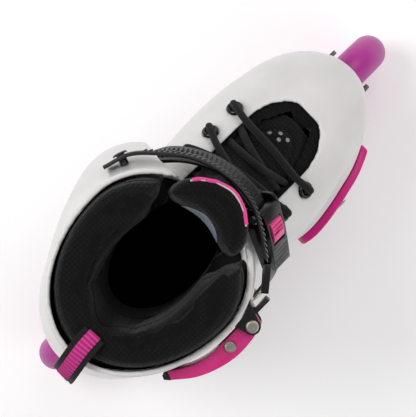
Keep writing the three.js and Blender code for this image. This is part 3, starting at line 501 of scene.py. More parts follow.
def stillRegion(radius, flapTop, corner=10):
    # side outline of what stays with the foot when the cuff flexes, with a rounded flap corner
    flapX = boot["pivotX"] + (flapTop - boot["pivotZ"]) / math.tan(math.radians(boot["flapAngle"]))
    arc = [arcPoint(radius, a) for a in np.linspace(boot["flapAngle"], 172, 60)]
    outline = [(-140, 60), (150, 60), (150, flapTop), (flapX + corner, flapTop), (flapX + 3, flapTop - 2),
               (flapX - 1, flapTop - 7)] + arc + [(-140, boot["pivotZ"] + 8)]
    return prism("stillRegion", outline, -90, 90, "Y")


def slotVolume(inset):
    half, end = 25 - inset, 92 - inset
    nose = 12.5 - inset / 2
    right = [(-34, -half), (64, -half), (72, -half + 1.2), (80, -half + 4), (86, -nose - 4), (end - 2, -nose),
             (end, -nose + 4)]
    curve = [tuple(p) for p in through([(*p, 0) for p in right[1:]], 30)[:, :2]]
    plan = [right[0]] + curve
    return prism("slotVolume", plan + [(x, -y) for x, y in plan[::-1]], 122, 330)


def drill(point, normal, radius, length=12, segments=32):
    profile = [(0, -length), (radius, -length), (radius, length), (0, length)]
    return turned("drill", profile, segments, frameAt(point, normal, (1, 0.2, 0.1)))


eyeletPlaces = {"inner_1": (60.5, 35), "outer_1": (57, -33.5), "inner_2": (39.5, 35), "outer_2": (37, -33.5),
                "inner_3": (21, 34.5), "outer_3": (18.5, -34.5)}


def eyeletPoint(key, level):
    x, y = eyeletPlaces[key]
    return np.array([x, y, skinHeight(x, y)]) + level * skinNormal(x, y)


def makeShell():
    shell = foot("shell", 0, folds=True)
    carve(shell, shellLeg("upper", 0, 98, 240), "UNION")
    inside = foot("inside", boot["shellWall"])
    carve(inside, shellLeg("upperInside", boot["shellWall"], 108, 250), "UNION")
    carve(shell, inside)
    carve(shell, stillRegion(boot["stillRadius"], 214), "INTERSECT")
    carve(shell, slotVolume(0))
    for key, (x, y) in eyeletPlaces.items():
        carve(shell, drill(eyeletPoint(key, 0), skinNormal(x, y), 4.6))
    soften(shell, 1.6, 3)
    return finishPiece(shell, "shell", "boot", ["shell"], 80)


def cuffOutline(side):
    front = [(-5, 178), (6, 196), (9, 222), (10, 250), (11, 282)] if side > 0 else \
        [(-14, 174), (-9, 200), (-5, 232), (8, 244), (9.5, 282)]
    low = [(-126, 179), (-92, 171), (-73, 153), (-50, 146), (-27, 153)]
    knots = low + front + [(-20, 289), (-60, 296), (-112, 301), (-128, 296), (-132, 240)]
    return [(p[0], p[1]) for p in through([(*k, 0) for k in knots], 160, True)[:-1]]


def makeCuff():
    halves = []
    for side in (1, -1):
        wall = leg("cuff", 0, wingBulge, 140, 306, 60, 180)
        carve(wall, leg("cuffInside", boot["cuffWall"], wingBulge, 136, 310, 60, 180))
        carve(wall, prism("cuffSide", cuffOutline(side), *((-0.01, 90) if side > 0 else (-90, 0)), "Y"),
            "INTERSECT")
        halves.append(wall)
    cuff = carve(halves[0], halves[1], "UNION")
    carve(cuff, drill((boot["pivotX"], 60, boot["pivotZ"]), (0, 1, 0), 5, 20))
    carve(cuff, drill((boot["pivotX"], -60, boot["pivotZ"]), (0, 1, 0), 5, 20))
    soften(cuff, 1.3, 3)
    return finishPiece(cuff, "shell", "cuff", ["cuff"], 80)


def soften(obj, voxel, passes=4):
    # rounds every edge of a moulded piece by about one voxel and gives it an even skin
    mod = obj.modifiers.new("even", "REMESH")
    mod.mode = "VOXEL"
    mod.voxel_size = voxel * mm
    settle(obj)
    if passes:
        mod = obj.modifiers.new("soft", "SMOOTH")
        mod.factor = 0.5
        mod.iterations = passes
        settle(obj)
    return obj


def rowTree():
    # Geometry Nodes: one piece repeated along a line, standing on the line's own outward direction
    tree = bpy.data.node_groups.new("rowOfPieces", "GeometryNodeTree")
    tree.interface.new_socket("Line", in_out="INPUT", socket_type="NodeSocketGeometry")
    tree.interface.new_socket("Piece", in_out="INPUT", socket_type="NodeSocketObject")
    tree.interface.new_socket("Spacing", in_out="INPUT", socket_type="NodeSocketFloat")
    tree.interface.new_socket("Finish", in_out="INPUT", socket_type="NodeSocketMaterial")
    tree.interface.new_socket("Row", in_out="OUTPUT", socket_type="NodeSocketGeometry")
    add, link = tree.nodes.new, tree.links.new
    given, made = add("NodeGroupInput"), add("NodeGroupOutput")
    curve, even = add("GeometryNodeMeshToCurve"), add("GeometryNodeResampleCurve")
    tangent = add("GeometryNodeInputTangent")
    even.mode = "LENGTH"
    out = add("GeometryNodeInputNamedAttribute")
    out.data_type = "FLOAT_VECTOR"
    out.inputs["Name"].default_value = "out"
    ahead, upright = add("FunctionNodeAlignRotationToVector"), add("FunctionNodeAlignRotationToVector")
    ahead.axis, upright.axis, upright.pivot_axis = "X", "Z", "X"
    piece, put = add("GeometryNodeObjectInfo"), add("GeometryNodeInstanceOnPoints")
    whole, finish = add("GeometryNodeRealizeInstances"), add("GeometryNodeSetMaterial")
    link(given.outputs["Line"], curve.inputs["Mesh"])
    link(curve.outputs["Curve"], even.inputs["Curve"])
    link(given.outputs["Spacing"], even.inputs["Length"])
    link(tangent.outputs["Tangent"], ahead.inputs["Vector"])
    link(ahead.outputs["Rotation"], upright.inputs["Rotation"])
    link(out.outputs["Attribute"], upright.inputs["Vector"])
    link(given.outputs["Piece"], piece.inputs["Object"])
    link(even.outputs["Curve"], put.inputs["Points"])
    link(piece.outputs["Geometry"], put.inputs["Instance"])
    link(upright.outputs["Rotation"], put.inputs["Rotation"])
    link(put.outputs["Instances"], whole.inputs["Geometry"])
    link(whole.outputs["Geometry"], finish.inputs["Geometry"])
    link(given.outputs["Finish"], finish.inputs["Material"])
    link(finish.outputs["Geometry"], made.inputs["Row"])
    return tree


rowOfPieces = rowTree()


def rowAlong(name, line, outs, piece, spacing, material):
    count = len(line)
    mesh = bpy.data.meshes.new(name)
    mesh.from_pydata((np.array(line) * mm).tolist(), [(i, i + 1) for i in range(count - 1)], [])
    mesh.attributes.new("out", "FLOAT_VECTOR", "POINT").data.foreach_set("vector",
        np.array(outs, float).ravel())
    obj = bpy.data.objects.new(name, mesh)
    bpy.context.collection.objects.link(obj)
    mod = obj.modifiers.new("row", "NODES")
    mod.node_group = rowOfPieces
    sockets = {item.name: item.identifier for item in rowOfPieces.interface.items_tree if item.in_out == "INPUT"}
    mod[sockets["Piece"]] = piece
    mod[sockets["Spacing"]] = spacing * mm
    mod[sockets["Finish"]] = materials[material]
    settle(obj)
    bpy.data.objects.remove(piece)
    obj.data.materials.clear()
    obj.data.materials.append(materials[material])
    return obj


def stitchPiece(length=2.6, thick=0.5):
    # one thread stitch, a bead lying along X
    rings = [[[x, r * math.cos(a), r * math.sin(a)] for a in np.linspace(0, 2 * math.pi, 6, endpoint=False)]
             for x, r in ((-length / 2, thick * 0.3), (-length / 3, thick * 0.5), (length / 3, thick * 0.5),
                          (length / 2, thick * 0.3))]
    return loft("stitch", rings)


def onSurface(obj, line, lift=0.0):
    # the nearest place on a finished piece for each point of a line, and the surface's direction there
    places, normals = [], []
    for p in line:
        place, normal = obj.closest_point_on_mesh(Vector([float(c) * mm for c in p]))[1:3]
        places.append(np.array(place) / mm + lift * np.array(normal))
        normals.append(np.array(normal))
    return np.array(places), np.array(normals)


def stitchAlong(name, obj, line, bodyName, spacing=3.4, lift=0.05):
    places, normals = onSurface(obj, line, lift)
    row = rowAlong(name, places, normals, stitchPiece(), spacing, "thread")
    row.data.shade_smooth()
    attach(row, bodyName)
    return row


def sew(obj, lines, depth, width):
    # presses a channel into padding along sewn lines
    points = [Vector(p) * mm for line in lines for p in evenly(line, 220)]
    near = KDTree(len(points))
    for i, p in enumerate(points):
        near.insert(p, i)
    near.balance()
    normals = [v.normal.copy() for v in obj.data.vertices]
    for v, normal in zip(obj.data.vertices, normals):
        distance = near.find(v.co)[2] / mm
        if distance < width * 2.5:
            v.co -= normal * depth * mm * math.exp(-(distance / width) ** 2)


def puff(obj, settings):
    # pressure swells the fabric between its seams, and each point may move no further than the cap
    start = obj.copy()
    start.data = obj.data.copy()
    bpy.context.collection.objects.link(start)
    mod = start.modifiers.new("even", "REMESH")
    mod.mode, mod.voxel_size = "VOXEL", settings["voxel"] * mm
    settle(start)
    before = np.array([v.co for v in start.data.vertices])
    cloth = start.modifiers.new("cloth", "CLOTH")
    cloth.settings.use_pressure = True
    cloth.settings.uniform_pressure_force = settings["pressure"]
    cloth.settings.effector_weights.gravity = 0
    cloth.settings.quality = 5
    cloth.settings.tension_stiffness = cloth.settings.compression_stiffness = 15
    scene = bpy.context.scene
    for number in range(1, 21):
        scene.frame_set(number)
    after = bpy.data.meshes.new_from_object(start.evaluated_get(bpy.context.evaluated_depsgraph_get()))
    moved = np.array([v.co for v in after.vertices]) - before
    far = np.linalg.norm(moved, axis=1, keepdims=True)
    moved *= np.minimum(1, settings["cap"] * mm / np.maximum(far, 1e-9))
    start.modifiers.clear()
    start.data = after
    for v, co in zip(after.vertices, before + moved):
        v.co = co
    scene.frame_set(1)
    subdivide(start, 1)
    obj.data = start.data
    bpy.data.objects.remove(start)
    return obj


def capsuleSection(width, thickness, corner, columns=0):
    # a flat bar's section with rounded corners, width along the first axis
    # columns are extra points along both flats
    a, b = width / 2 - corner, thickness / 2 - corner
    flat = [a * (1 - 2 * (k + 1) / (columns + 1)) for k in range(columns)]
    section = []
    for cx, cy, start in ((a, b, 0), (-a, b, 90), (-a, -b, 180), (a, -b, 270)):
        for angle in np.radians(np.linspace(start, start + 90, 4)):
            section.append((cx + corner * math.cos(angle), cy + corner * math.sin(angle)))
        if start in (0, 180):
            side = 1 if start == 0 else -1
            section += [(side * x, side * thickness / 2) for x in flat]
    return section


def stationsOf(knots, count):
    path = through([k[0] for k in knots], count * 6)
    outPath = through([k[1] for k in knots], count * 6)
    widths = smooth(*[(i, k[2]) for i, k in enumerate(knots)])
    tangents = np.gradient(path, axis=0)
    rows = []
    for i in range(0, count * 6 + 1, 6):
        across = unit(np.cross(outPath[i], tangents[i]))
        rows.append({"at": path[i], "across": across, "out": unit(np.cross(tangents[i], across)),
                     "width": widths(i / (count * 6) * (len(knots) - 1))})
    return rows


def strap(name, knots, thickness, count=90, corner=0.7, tip=True, columns=0):
    rows = stationsOf(knots, count)
    rings = []
    for i, row in enumerate(rows):
        left = min(1.0, (len(rows) - 1 - i) / 5 + 0.25) if tip else 1.0
        width = row["width"] * (math.sqrt(1 - (1 - left) ** 2) if left < 1 else 1)
        rings.append([row["at"] + a * row["across"] + b * row["out"]
                      for a, b in capsuleSection(max(width, 3), thickness, corner, columns)])
    return loft(name, rings), rows


def joinInto(obj, *others):
    # one mesh from several, each keeping its own material
    with bpy.context.temp_override(active_object=obj, object=obj, selected_objects=[obj, *others],
                                   selected_editable_objects=[obj, *others]):
        bpy.ops.object.join()
    return obj


def tube(name, line, radius, sides=12):
    line = np.array(line)
    tangents = np.gradient(line, axis=0)
    side = unit(np.cross(tangents[0], [0.3, 0.2, 1]))
    rings = []
    for p, t in zip(line, tangents):
        side = unit(side - np.dot(side, unit(t)) * unit(t))
        up = np.cross(unit(t), side)
        rings.append([p + radius * (math.cos(a) * side + math.sin(a) * up)
                      for a in np.linspace(0, 2 * math.pi, sides, endpoint=False)])
    return loft(name, rings)


def lengthMap(obj, line, across=None):
    # a UV map in metres along and across a ribbon or cord, for its weave
    line = np.array(line, float)
    run = np.concatenate([[0], np.cumsum(np.linalg.norm(np.diff(line, axis=0), axis=1))])
    near = KDTree(len(line))
    for i, p in enumerate(line):
        near.insert(Vector(p) * mm, i)
    near.balance()
    tangents = np.gradient(line, axis=0)
    layer = obj.data.uv_layers.new(name="length")
    found = {}
    for v in obj.data.vertices:
        i = near.find(v.co)[1]
        away = np.array(v.co) / mm - line[i]
        t = unit(tangents[i])
        away = away - np.dot(away, t) * t
        if across is not None:
            wide = float(np.dot(away, across[i]))
        else:
            side = unit(np.cross(t, [0.13, 0.21, 0.97]))
            wide = 2.25 * math.atan2(float(np.dot(away, np.cross(t, side))), float(np.dot(away, side)))
        found[v.index] = ((run[i] + float(np.dot(np.array(v.co) / mm - line[i], t))) * mm, wide * mm)
    for loop in obj.data.loops:
        layer.data[loop.index].uv = found[loop.vertex_index]


def hexSocket(width, low, high, matrix):
    corner = width / 2 / math.cos(math.pi / 6)
    outline = [(corner * math.cos(a), corner * math.sin(a)) for a in np.linspace(0, 2 * math.pi, 6, endpoint=False)]
    cutter = prism("socket", outline, low, high)
    cutter.data.transform(matrix)
    return cutter


def turnAbout(axis, degreesTurned, place):
    return Matrix.Translation(Vector(place) * mm) @ Matrix.Rotation(math.radians(degreesTurned), 4, axis)


makeShell()
makeCuff()
print("shell and cuff")


wheel = {"radius": 40, "width": 24, "spacing": 81, "core": 23, "bearing": 11, "bore": 4.15, "bearingWidth": 7,
         "axle": 3.9, "head": 7, "halfFrame": 17.5}


def tyreProfile():
    bore, half = wheel["core"] + 0.35, wheel["width"] / 2
    crown = [(wheel["radius"] - half + half * math.cos(a),
        half * math.sin(a)) for a in np.radians(np.linspace(-80, 80, 25))]
    lip = [(bore + 2.6, -half + 0.5), (bore + 1, -half + 1.1), (bore, -half + 2.6)]
    return lip[::-1] + crown + [(r, -z) for r, z in lip]


def makeHub(turn):
    half, seat, web = wheel["width"] / 2, wheel["bearing"] + 0.35, wheel["axle"] + 2.2
    ledge = half - wheel["bearingWidth"] - 0.3
    upper = [(seat, ledge), (seat, half - 1.1), (seat + 0.6, half - 0.5), (seat + 2, half - 0.5),
             (seat + 2.8, half - 1.3), (seat + 3.4, half - 4.2), (wheel["core"] - 3.2, half - 5),
             (wheel["core"] - 2.2, half - 2.4),
             (wheel["core"], half - 2.6)]
    profile = [(web, -ledge)] + [(web, ledge)] + upper + [(r, -z) for r, z in upper[::-1]]
    hub = turned("hub", profile, 96)
    for k in range(5):
        shapeXY = [(14.9, -2.6), (16, -4.2), (18.6, -4.9), (19.4, -3.6), (19.8, 0), (19.4, 3.6), (18.6, 4.9),
            (16, 4.2), (14.9, 2.6)]
        window = prism("window", [(x * math.cos(k * 1.2566) - y * math.sin(k * 1.2566),
                                   x * math.sin(k * 1.2566) + y * math.cos(k * 1.2566)) for x, y in shapeXY],
                                   -20, 20)
        carve(hub, window)
    hub.data.transform(turn)
    return hub


def bearingProfile():
    inner, outer, half = wheel["bore"], wheel["bearing"], wheel["bearingWidth"] / 2
    face = [(inner, half - 0.4), (inner + 0.4, half), (inner + 1.9, half), (inner + 1.9, half - 0.35),
            (outer - 1.9, half - 0.35), (outer - 1.9, half), (outer - 0.4, half), (outer, half - 0.4)]
    return face + [(r, -z) for r, z in face[::-1]]


def makeWheel(number, x):
    turn = turnAbout("X", 90, (x, 0, wheel["radius"]))
    name = f"wheel{number}"
    finishPiece(turned(f"{name}Tyre", tyreProfile(), 128, turn), "urethane", name, [f"{name}_tyre"],
        50)
    finishPiece(makeHub(turn), "core", name, [f"{name}_hub"], 32)
    for side, label in ((1, "outer"), (-1, "inner")):
        move = turn @ Matrix.Translation((0, 0, side * (wheel["width"] - wheel["bearingWidth"]) / 2 * mm))
        finishPiece(turned(f"{name}Bearing{label}", bearingProfile(), 72, move), "bearing", name,
                    [f"{name}_bearing_{label}"], 30)
    head, r, h = wheel["halfFrame"] + 0.35, wheel["axle"], wheel["head"]
    profile = [(0, -16.5), (r - 0.6, -16.5), (r, -15.9), (r, head), (h - 0.3, head), (h, head + 0.4),
               (h - 0.5, head + 1.6), (h - 1.6, head + 2.2), (0, head + 2.2)]
    axle = turned(f"{name}Axle", profile, 72, turn)
    carve(axle, hexSocket(4.4, head + 0.5, head + 6, turn))
    finishPiece(axle, "steel", "boot", [f"{name}_axle"], 30)


firstWheel = 1.5 * wheel["spacing"]
for number in range(4):
    makeWheel(number + 1, firstWheel - number * wheel["spacing"])
print("wheels")


chassis = {"half": 17.5, "wall": 2.8, "deckTop": 86, "deck": 3.4, "end": 134, "bolts": (78, -84)}


def frameOutline():
    lobe, valley, points = chassis["end"] - firstWheel, wheel["radius"] + 8, []
    for i in (3, 2, 1, 0):
        x = firstWheel - i * wheel["spacing"]
        points += [(x + lobe * math.cos(a),
            wheel["radius"] + lobe * math.sin(a)) for a in np.radians(np.linspace(192, 348, 22))]
        if i:
            mid = x + wheel["spacing"] / 2
            points += [(mid + 13 * math.cos(a),
                valley - 3 + 3 * math.sin(a)) for a in np.radians(np.linspace(170, 10, 9))]
    front, high = firstWheel + lobe, chassis["deckTop"]
    nose = [(front, wheel["radius"] + 8), (front - 2, wheel["radius"] + 17), (front - 11, high - 4),
        (front - 15, high)]
    return points + nose + [(-x, z) for x, z in nose[::-1]]


def makeFrame():
    inner = chassis["half"] - chassis["wall"]
    rails = prism("frame", frameOutline(), -chassis["half"], chassis["half"], "Y")
    carve(rails, block("channel", (-160, 160), (-inner, inner), (0, chassis["deckTop"] - chassis["deck"])))
    for i in range(4):
        x = firstWheel - i * wheel["spacing"]
        axle = turnAbout("X", 90, (x, 0, wheel["radius"]))
        for side in (-1, 1):
            low, high = sorted((side * (wheel["width"] / 2 + 0.35), side * (inner + 0.4)))
            first, last = (6.2, 7.6) if side > 0 else (7.6, 6.2)
            profile = [(0, low), (first, low), (7, (low + high) / 2), (last, high), (0, high)]
            carve(rails, turned("boss", profile, 48, axle), "UNION")
        carve(rails, hole(wheel["axle"] + 0.35, axle, -30, 30, 48))
        if i:
            mid = x + wheel["spacing"] / 2
            corners = [(mid - 12, 62, 0), (mid, 61, 0), (mid + 12, 62, 0), (mid + 9.5, 74, 0), (mid, 76, 0),
                       (mid - 9.5, 74, 0)]
            carve(rails, prism("window", through(corners, 40, True)[:-1], -30, 30, "Y"))
    for x in chassis["bolts"]:
        carve(rails, hole(4.35, turnAbout("X", 0, (x, 0, 0)), 60, 105, 40))
    bevel(rails, 0.7, 2, 45)
    return finishPiece(rails, "frame", "boot", ["frame"], 32)


makeFrame()
for x, label in zip(chassis["bolts"], ("front", "rear")):
    low = chassis["deckTop"] - chassis["deck"]
    profile = [(0, low - 2.2), (5.2, low - 2.2), (6, low - 1.6), (6, low - 0.35), (4, low - 0.35), (4, 89.35),
               (0, 89.35)]
    bolt = turned(f"frameBolt{label}", profile, 48, turnAbout("X", 0, (x, 0, 0)))
    carve(bolt, hexSocket(5, low - 5, low - 0.9, turnAbout("X", 0, (x, 0, 0))))
    finishPiece(bolt, "steel", "boot", [f"frame_bolt_{label}"], 30)
print("frame")


eyelet = {"flange": 5.5, "bore": 3.1, "low": 0.9, "thick": 1.4}


def makeEyelets():
    sleeve, low, thick = eyelet["bore"] + 1.3, eyelet["low"], eyelet["thick"]
    profile = [(eyelet["bore"], -3.5), (sleeve, -3.5), (sleeve, low), (eyelet["flange"], low),
               (eyelet["flange"], low + 0.4), (eyelet["flange"] - 0.4, low + thick * 0.75),
               (eyelet["flange"] - 1.1, low + thick),
               (eyelet["bore"] + 0.9, low + thick), (eyelet["bore"] + 0.25, low + thick - 0.4),
               (eyelet["bore"], low + 0.3)]
    for key, (x, y) in eyeletPlaces.items():
        ring = turned(f"eyelet_{key}_ring", profile, 64,
            frameAt(eyeletPoint(key, 0), skinNormal(x, y), (1, 0, 0)))
        finishPiece(ring, "gloss", "boot", [f"eyelet_{key}"], 35)


slider = {"rear": 29, "front": 103, "depth": 6, "screwX": 66, "screwZ": 98}


def makeSlider():
    rear, front = slider["rear"], slider["front"]
    outline = through([(rear, 93, 0), (rear + 3, 103, 0), (rear + 25, 107.5, 0), (front - 20, 106, 0),
                       (front, 99, 0), (front - 2, 92, 0), (front - 25, 88.5, 0), (rear + 15, 89, 0)], 90,
                       True)[:-1]
    plate = foot("slider", -slider["depth"])
    carve(plate, foot("skin", -0.45))
    carve(plate, prism("side", outline, -75, -20, "Y"), "INTERSECT")
    place = turnAbout("X", 90, (slider["screwX"], 0, slider["screwZ"]))
    carve(plate, hole(2.55, place, 40, 80, 40))
    soften(plate, 0.75, 5)
    finishPiece(plate, "slider", "boot", ["side_slider"], 45)
    seat = outerHalf(slider["screwX"]) + slider["depth"] + 0.3
    screw = turned("sliderScrew", [(0, seat - 9), (2.2, seat - 9), (2.2, seat), (4.2, seat), (4.1, seat + 0.4),
                                   (3.2, seat + 0.9), (1.6, seat + 1.1), (0, seat + 1.1)], 48, place)
    carve(screw, hexSocket(2.4, seat + 0.5, seat + 5, place))
    finishPiece(screw, "steel", "boot", ["slider_screw"], 30)


def makeCuffBolts():
    for side, label in ((1, "inner"), (-1, "outer")):
        reach = legCentre - legBack(174)
        wall = legHalf(174) * math.sqrt(1 - ((boot["pivotX"] + 9 - legCentre) / reach) ** 2)
        seat = wall + (wingBulge * wingReach(174) * 0.75 if side > 0 else 0) + 1.6
        end = seat - 3.4 - 1.3 - 3.5 - 3
        place = turnAbout("X", -90 * side, (boot["pivotX"], 0, boot["pivotZ"]))
        bolt = turned(f"cuffBolt{label}",
            [(0, end), (4.5, end), (4.5, seat), (8.7, seat), (9, seat + 0.4), (8.6, seat + 1.3),
                                           (7.4, seat + 2.1), (6, seat + 2.4), (0, seat + 2.4)], 96, place)
        carve(bolt, hexSocket(4.6, seat + 1, seat + 6, place))
        finishPiece(bolt, "steel", "boot", [f"cuff_bolt_{label}"], 30)


def rivetAt(name, matrix, low, high, node, bodyName, finish="steel"):
    r = 2.6
    head = turned(name, [(0, low), (r, low), (r, high), (r + 2.1, high), (r + 2.2, high + 0.4),
                         (r + 1.6, high + 1.2), (r + 0.4, high + 1.6), (0, high + 1.7)], 64, matrix)
    return finishPiece(head, finish, bodyName, [node], 30)


makeEyelets()
makeSlider()
makeCuffBolts()
print("eyelets, slider and bolts")


lace = {"radius": 2.4, "sides": 14, "steps": 900}


def lacePoints():
    over, within, under = (lambda k, level=level: eyeletPoint(k, level) for level in (5, -0.6, -6.2))
    i1, o1, i2, o2, i3, o3 = "inner_1", "outer_1", "inner_2", "outer_2", "inner_3", "outer_3"
    return [(0, 22, 176), (9, 26, 171), under(i3), within(i3), over(i3), (29, 27, 187), (35.5, 6, 188),
            (38.5, -14, 185), (39, -26, 180), over(o2), within(o2), under(o2), (43, -26, 155), (45.5, -16, 169),
            (49, 1, 176.5), (52.5, 16, 168), (56, 26, 152), under(i1), within(i1), over(i1), (61, 26, 164),
            (60.5, 0, 169), (58.5, -25, 165.5), over(o1), within(o1), under(o1), (52, -26, 151), (50, -16, 168),
            (47, -1, 181.5), (45, 15, 173), (43, 26, 157), under(i2), within(i2), over(i2), (38, 28, 178),
            (35, 14, 187), (31, -4, 193), (24.5, -24.5, 194.2), over(o3), within(o3), under(o3), (8, -26, 171),
            (0, -22, 176)]


laceLine = evenly(through(lacePoints(), 1600), lace["steps"])


def makeLace():
    cord = tube("laceCord", laceLine, lace["radius"], lace["sides"])
    lengthMap(cord, laceLine)
    finishPiece(cord, "lace", "boot", ["lace"], 60)


makeLace()
print("lace")


buckle = {"head": (33.5, -12, 212), "tail": (12.5, -51.5, 188), "out": (0.52, -0.55, 0.62), "width": 21,
    "pinX": 10, "pinZ": 4.2}
buckleOut = unit(buckle["out"])
buckleHead, buckleTail = np.array(buckle["head"], float), np.array(buckle["tail"], float)
buckleMatrix = frameAt(buckleHead, buckleOut, buckleTail - buckleHead)
buckleLead = np.array([buckleMatrix[i][0] for i in range(3)])
ladder = {"thick": 2.4, "tooth": 1.1, "pitch": 3.2, "bare": 0.22}


def inBuckle(obj):
    obj.data.transform(buckleMatrix)
    return obj


def instepKnots():
    along = lambda d: tuple(buckleHead + d * buckleLead - 0.9 * buckleOut)
    out = tuple(buckleOut)
    return [((-22, 56.6, 187), (0, 1, 0.05), 24), ((-5, 52.5, 196), (0.3, 1, 0.2), 23),
            ((10.5, 45, 206), (0.6, 0.8, 0.45), 21), ((24, 31, 213), (0.8, 0.45, 0.5), 17),
            ((32.5, 12, 214.5), (0.85, 0, 0.5), 14.5),
            (along(2), out, 13.5),
            (along(17), out, 13.5)]


tongue = {"steps": 110, "across": 56, "fall": 0.26, "spread": 5.0, "inner": 7.0}
tongueKnots = [((87, 0, 141), (0.3, 0, 1), 27), ((74, 0, 150), (0.45, 0, 1), 44),
               ((58, 0, 160), (0.6, 0, 1), 58), ((40, 0, 176), (0.8, 0, 1), 62),
               ((27, 0, 194), (1, 0, 0.7), 58),
               ((20, 0, 218), (1, 0, 0.1), 52),
               ((19, 0, 245), (1, 0, -0.1), 52), ((21, 0, 275), (1, 0, -0.12), 53),
               ((25, 0, 300), (1, 0, -0.15), 53),
               ((27, 0, 312), (1, 0, -0.15), 48)]
tongueDepth = smooth((0, 6), (0.4, 8), (0.6, 12), (1, 17))


def tongueRow(row, level, t, width=None):
    # a place on the tongue: t runs across it from -1 to 1, level out of its middle surface
    w = width if width is not None else row["width"]
    return row["at"] + (t * w / 2) * row["across"] + (level - tongue["fall"] * w * t * t) * row["out"]


def tongueBody(name, grow, steps, across):
    rows = stationsOf(tongueKnots, steps)
    rings = []
    for i, row in enumerate(rows):
        share = i / steps
        # both ends close over in a round
        end = min(1, (1 - share) / 0.05, share / 0.04 + 0.3)
        round_ = math.sqrt(max(0.04, 1 - (1 - end) ** 2)) if end < 1 else 1
        depth = (tongueDepth(share) + grow) * round_
        width = (row["width"] + grow) * (0.9 + 0.1 * round_)
        wide = min(1, max(0, (share - 0.5) / 0.12)) if not grow else 0  # the top spreads to meet the collar
        width += tongue["spread"] * wide
        ring = []
        for a in np.linspace(0, 2 * math.pi, across, endpoint=False):
            t = signedPower(np.cos(a), 0.75)
            level = (depth / 2 + (tongue["inner"] * wide if math.sin(a) < 0 else 0)) * signedPower(np.sin(a),
                0.6)
            ring.append(tongueRow(row, level, float(t), width))
        rings.append(ring)
    return loft(name, rings), rows


def tongueLine(rows, t, low, high, level=0.5):
    picked = [i for i in range(len(rows)) if low <= i / (len(rows) - 1) <= high]
    return [tongueRow(rows[i], level * tongueDepth(i / (len(rows) - 1)), t) for i in picked]


def legHole(name, low, high):
    holeHalf = smooth((100, 27), (200, 27), (260, 27.5), (295, 28.5), (306, 30), (316, 35))
    rings = []
    for z in np.linspace(low, high, 40):
        half = holeHalf(z)
        rings.append([[-38 + math.cos(a) * (half + (22 if math.cos(a) > 0 else 12)), half * math.sin(a), z]
                      for a in np.linspace(0, 2 * math.pi, 90, endpoint=False)])
    return loft(name, rings)


def makeTongue():
    pad, rows = tongueBody("tonguePad", 0, tongue["steps"], tongue["across"])
    # the shell and the eyelets leave the pad this much room
    bite = foot("bite", -0.5)
    carve(bite, shellLeg("biteLeg", -0.5, 98, 240), "UNION")
    hollow = foot("hollow", boot["shellWall"] + 0.5)
    carve(hollow, shellLeg("hollowLeg", boot["shellWall"] + 0.5, 108, 250), "UNION")
    carve(bite, hollow)
    carve(bite, slotVolume(0.5))
    carve(pad, bite)
    carve(pad, tube("laceRoom", laceLine[::6], lace["radius"] + 0.45, 10))
    carve(pad, strap("strapRoom", instepKnots(), ladder["thick"] + 1.2, 60, 0.8, False)[0])
    half = buckle["width"] / 2 + 0.5
    carve(pad, inBuckle(block("buckleRoom", (1.5, 49.5), (-half, half), (-5.4, 9))))
    keepBiggest(pad)
    soften(pad, 1.3, 5)
    return pad, rows


def keepBiggest(obj):
    bm = bmesh.new()
    bm.from_mesh(obj.data)
    left, groups = set(bm.verts), []
    while left:
        group, queue = set(), [left.pop()]
        while queue:
            v = queue.pop()
            group.add(v)
            for e in v.link_edges:
                o = e.other_vert(v)
                if o in left:
                    left.remove(o)
                    queue.append(o)
        groups.append(group)
    groups.sort(key=len)
    for group in groups[:-1]:
        bmesh.ops.delete(bm, geom=list(group), context="VERTS")
    bm.to_mesh(obj.data)
    bm.free()


def makeLinerLower():
    depth = boot["shellWall"] + 0.5
    sock = foot("linerLower", depth)
    carve(sock, shellLeg("linerLeg", depth, 112, 240), "UNION")
    inside = foot("footRoom", depth + 8)
    carve(inside, legHole("legRoom", 110, 250), "UNION")
    carve(sock, inside)
    carve(sock, stillRegion(boot["stillRadius"] - 1, 210), "INTERSECT")
    carve(sock, tongueBody("tongueRoom", 1.4, 60, 40)[0])
    carve(sock, tube("laceRoom", laceLine[::6], lace["radius"] + 0.45, 10))
    carve(sock, block("front", (-10, 60), (-24, 24), (190, 260)))
    keepBiggest(sock)
    soften(sock, 1.9, 4)
    finishPiece(sock, "mesh", "boot", ["liner_lower"], 60)
    return sock


collar = {"voxel": 4.0, "pressure": 4.0, "cap": 3.0, "shrink": 1.6}
collarInset = smooth((170, 4.3), (250, 4.6), (292, 4.9), (303, 4.4), (309, 7), (314, 13))


def makeCollar():
    pad = leg("collarPad", lambda z: collarInset(z) + 0.4, 0, 170, 314, 50, 120)
    carve(pad, legHole("legRoom", 160, 320))
    carve(pad, block("throat", (-17, 60), (-30, 30), (160, 340)))
    radius = boot["stillRadius"] + 1.9
    arc = [arcPoint(radius, a) for a in np.linspace(52, 172, 60)]
    frontX = arc[0][0] + (231 - arc[0][1]) / math.tan(math.radians(52))
    moving = prism("moving", [(-140, 340), (-140, boot["pivotZ"] + 9)] + arc[::-1] + [(frontX, 231), (60, 231),
                   (60, 340)], -90, 90, "Y")
    carve(pad, moving, "INTERSECT")
    carve(pad, block("low", (-60, 60), (-90, 90), (160, 200)))
    keepBiggest(pad)
    return pad


def shrinkBy(obj, amount):
    mod = obj.modifiers.new("shrink", "DISPLACE")
    mod.strength = -amount * mm
    mod.mid_level = 0
    return settle(obj)


def padding(obj, settings):
    if settings["shrink"]:
        shrinkBy(obj, settings["shrink"])
    puff(obj, settings)
    return obj


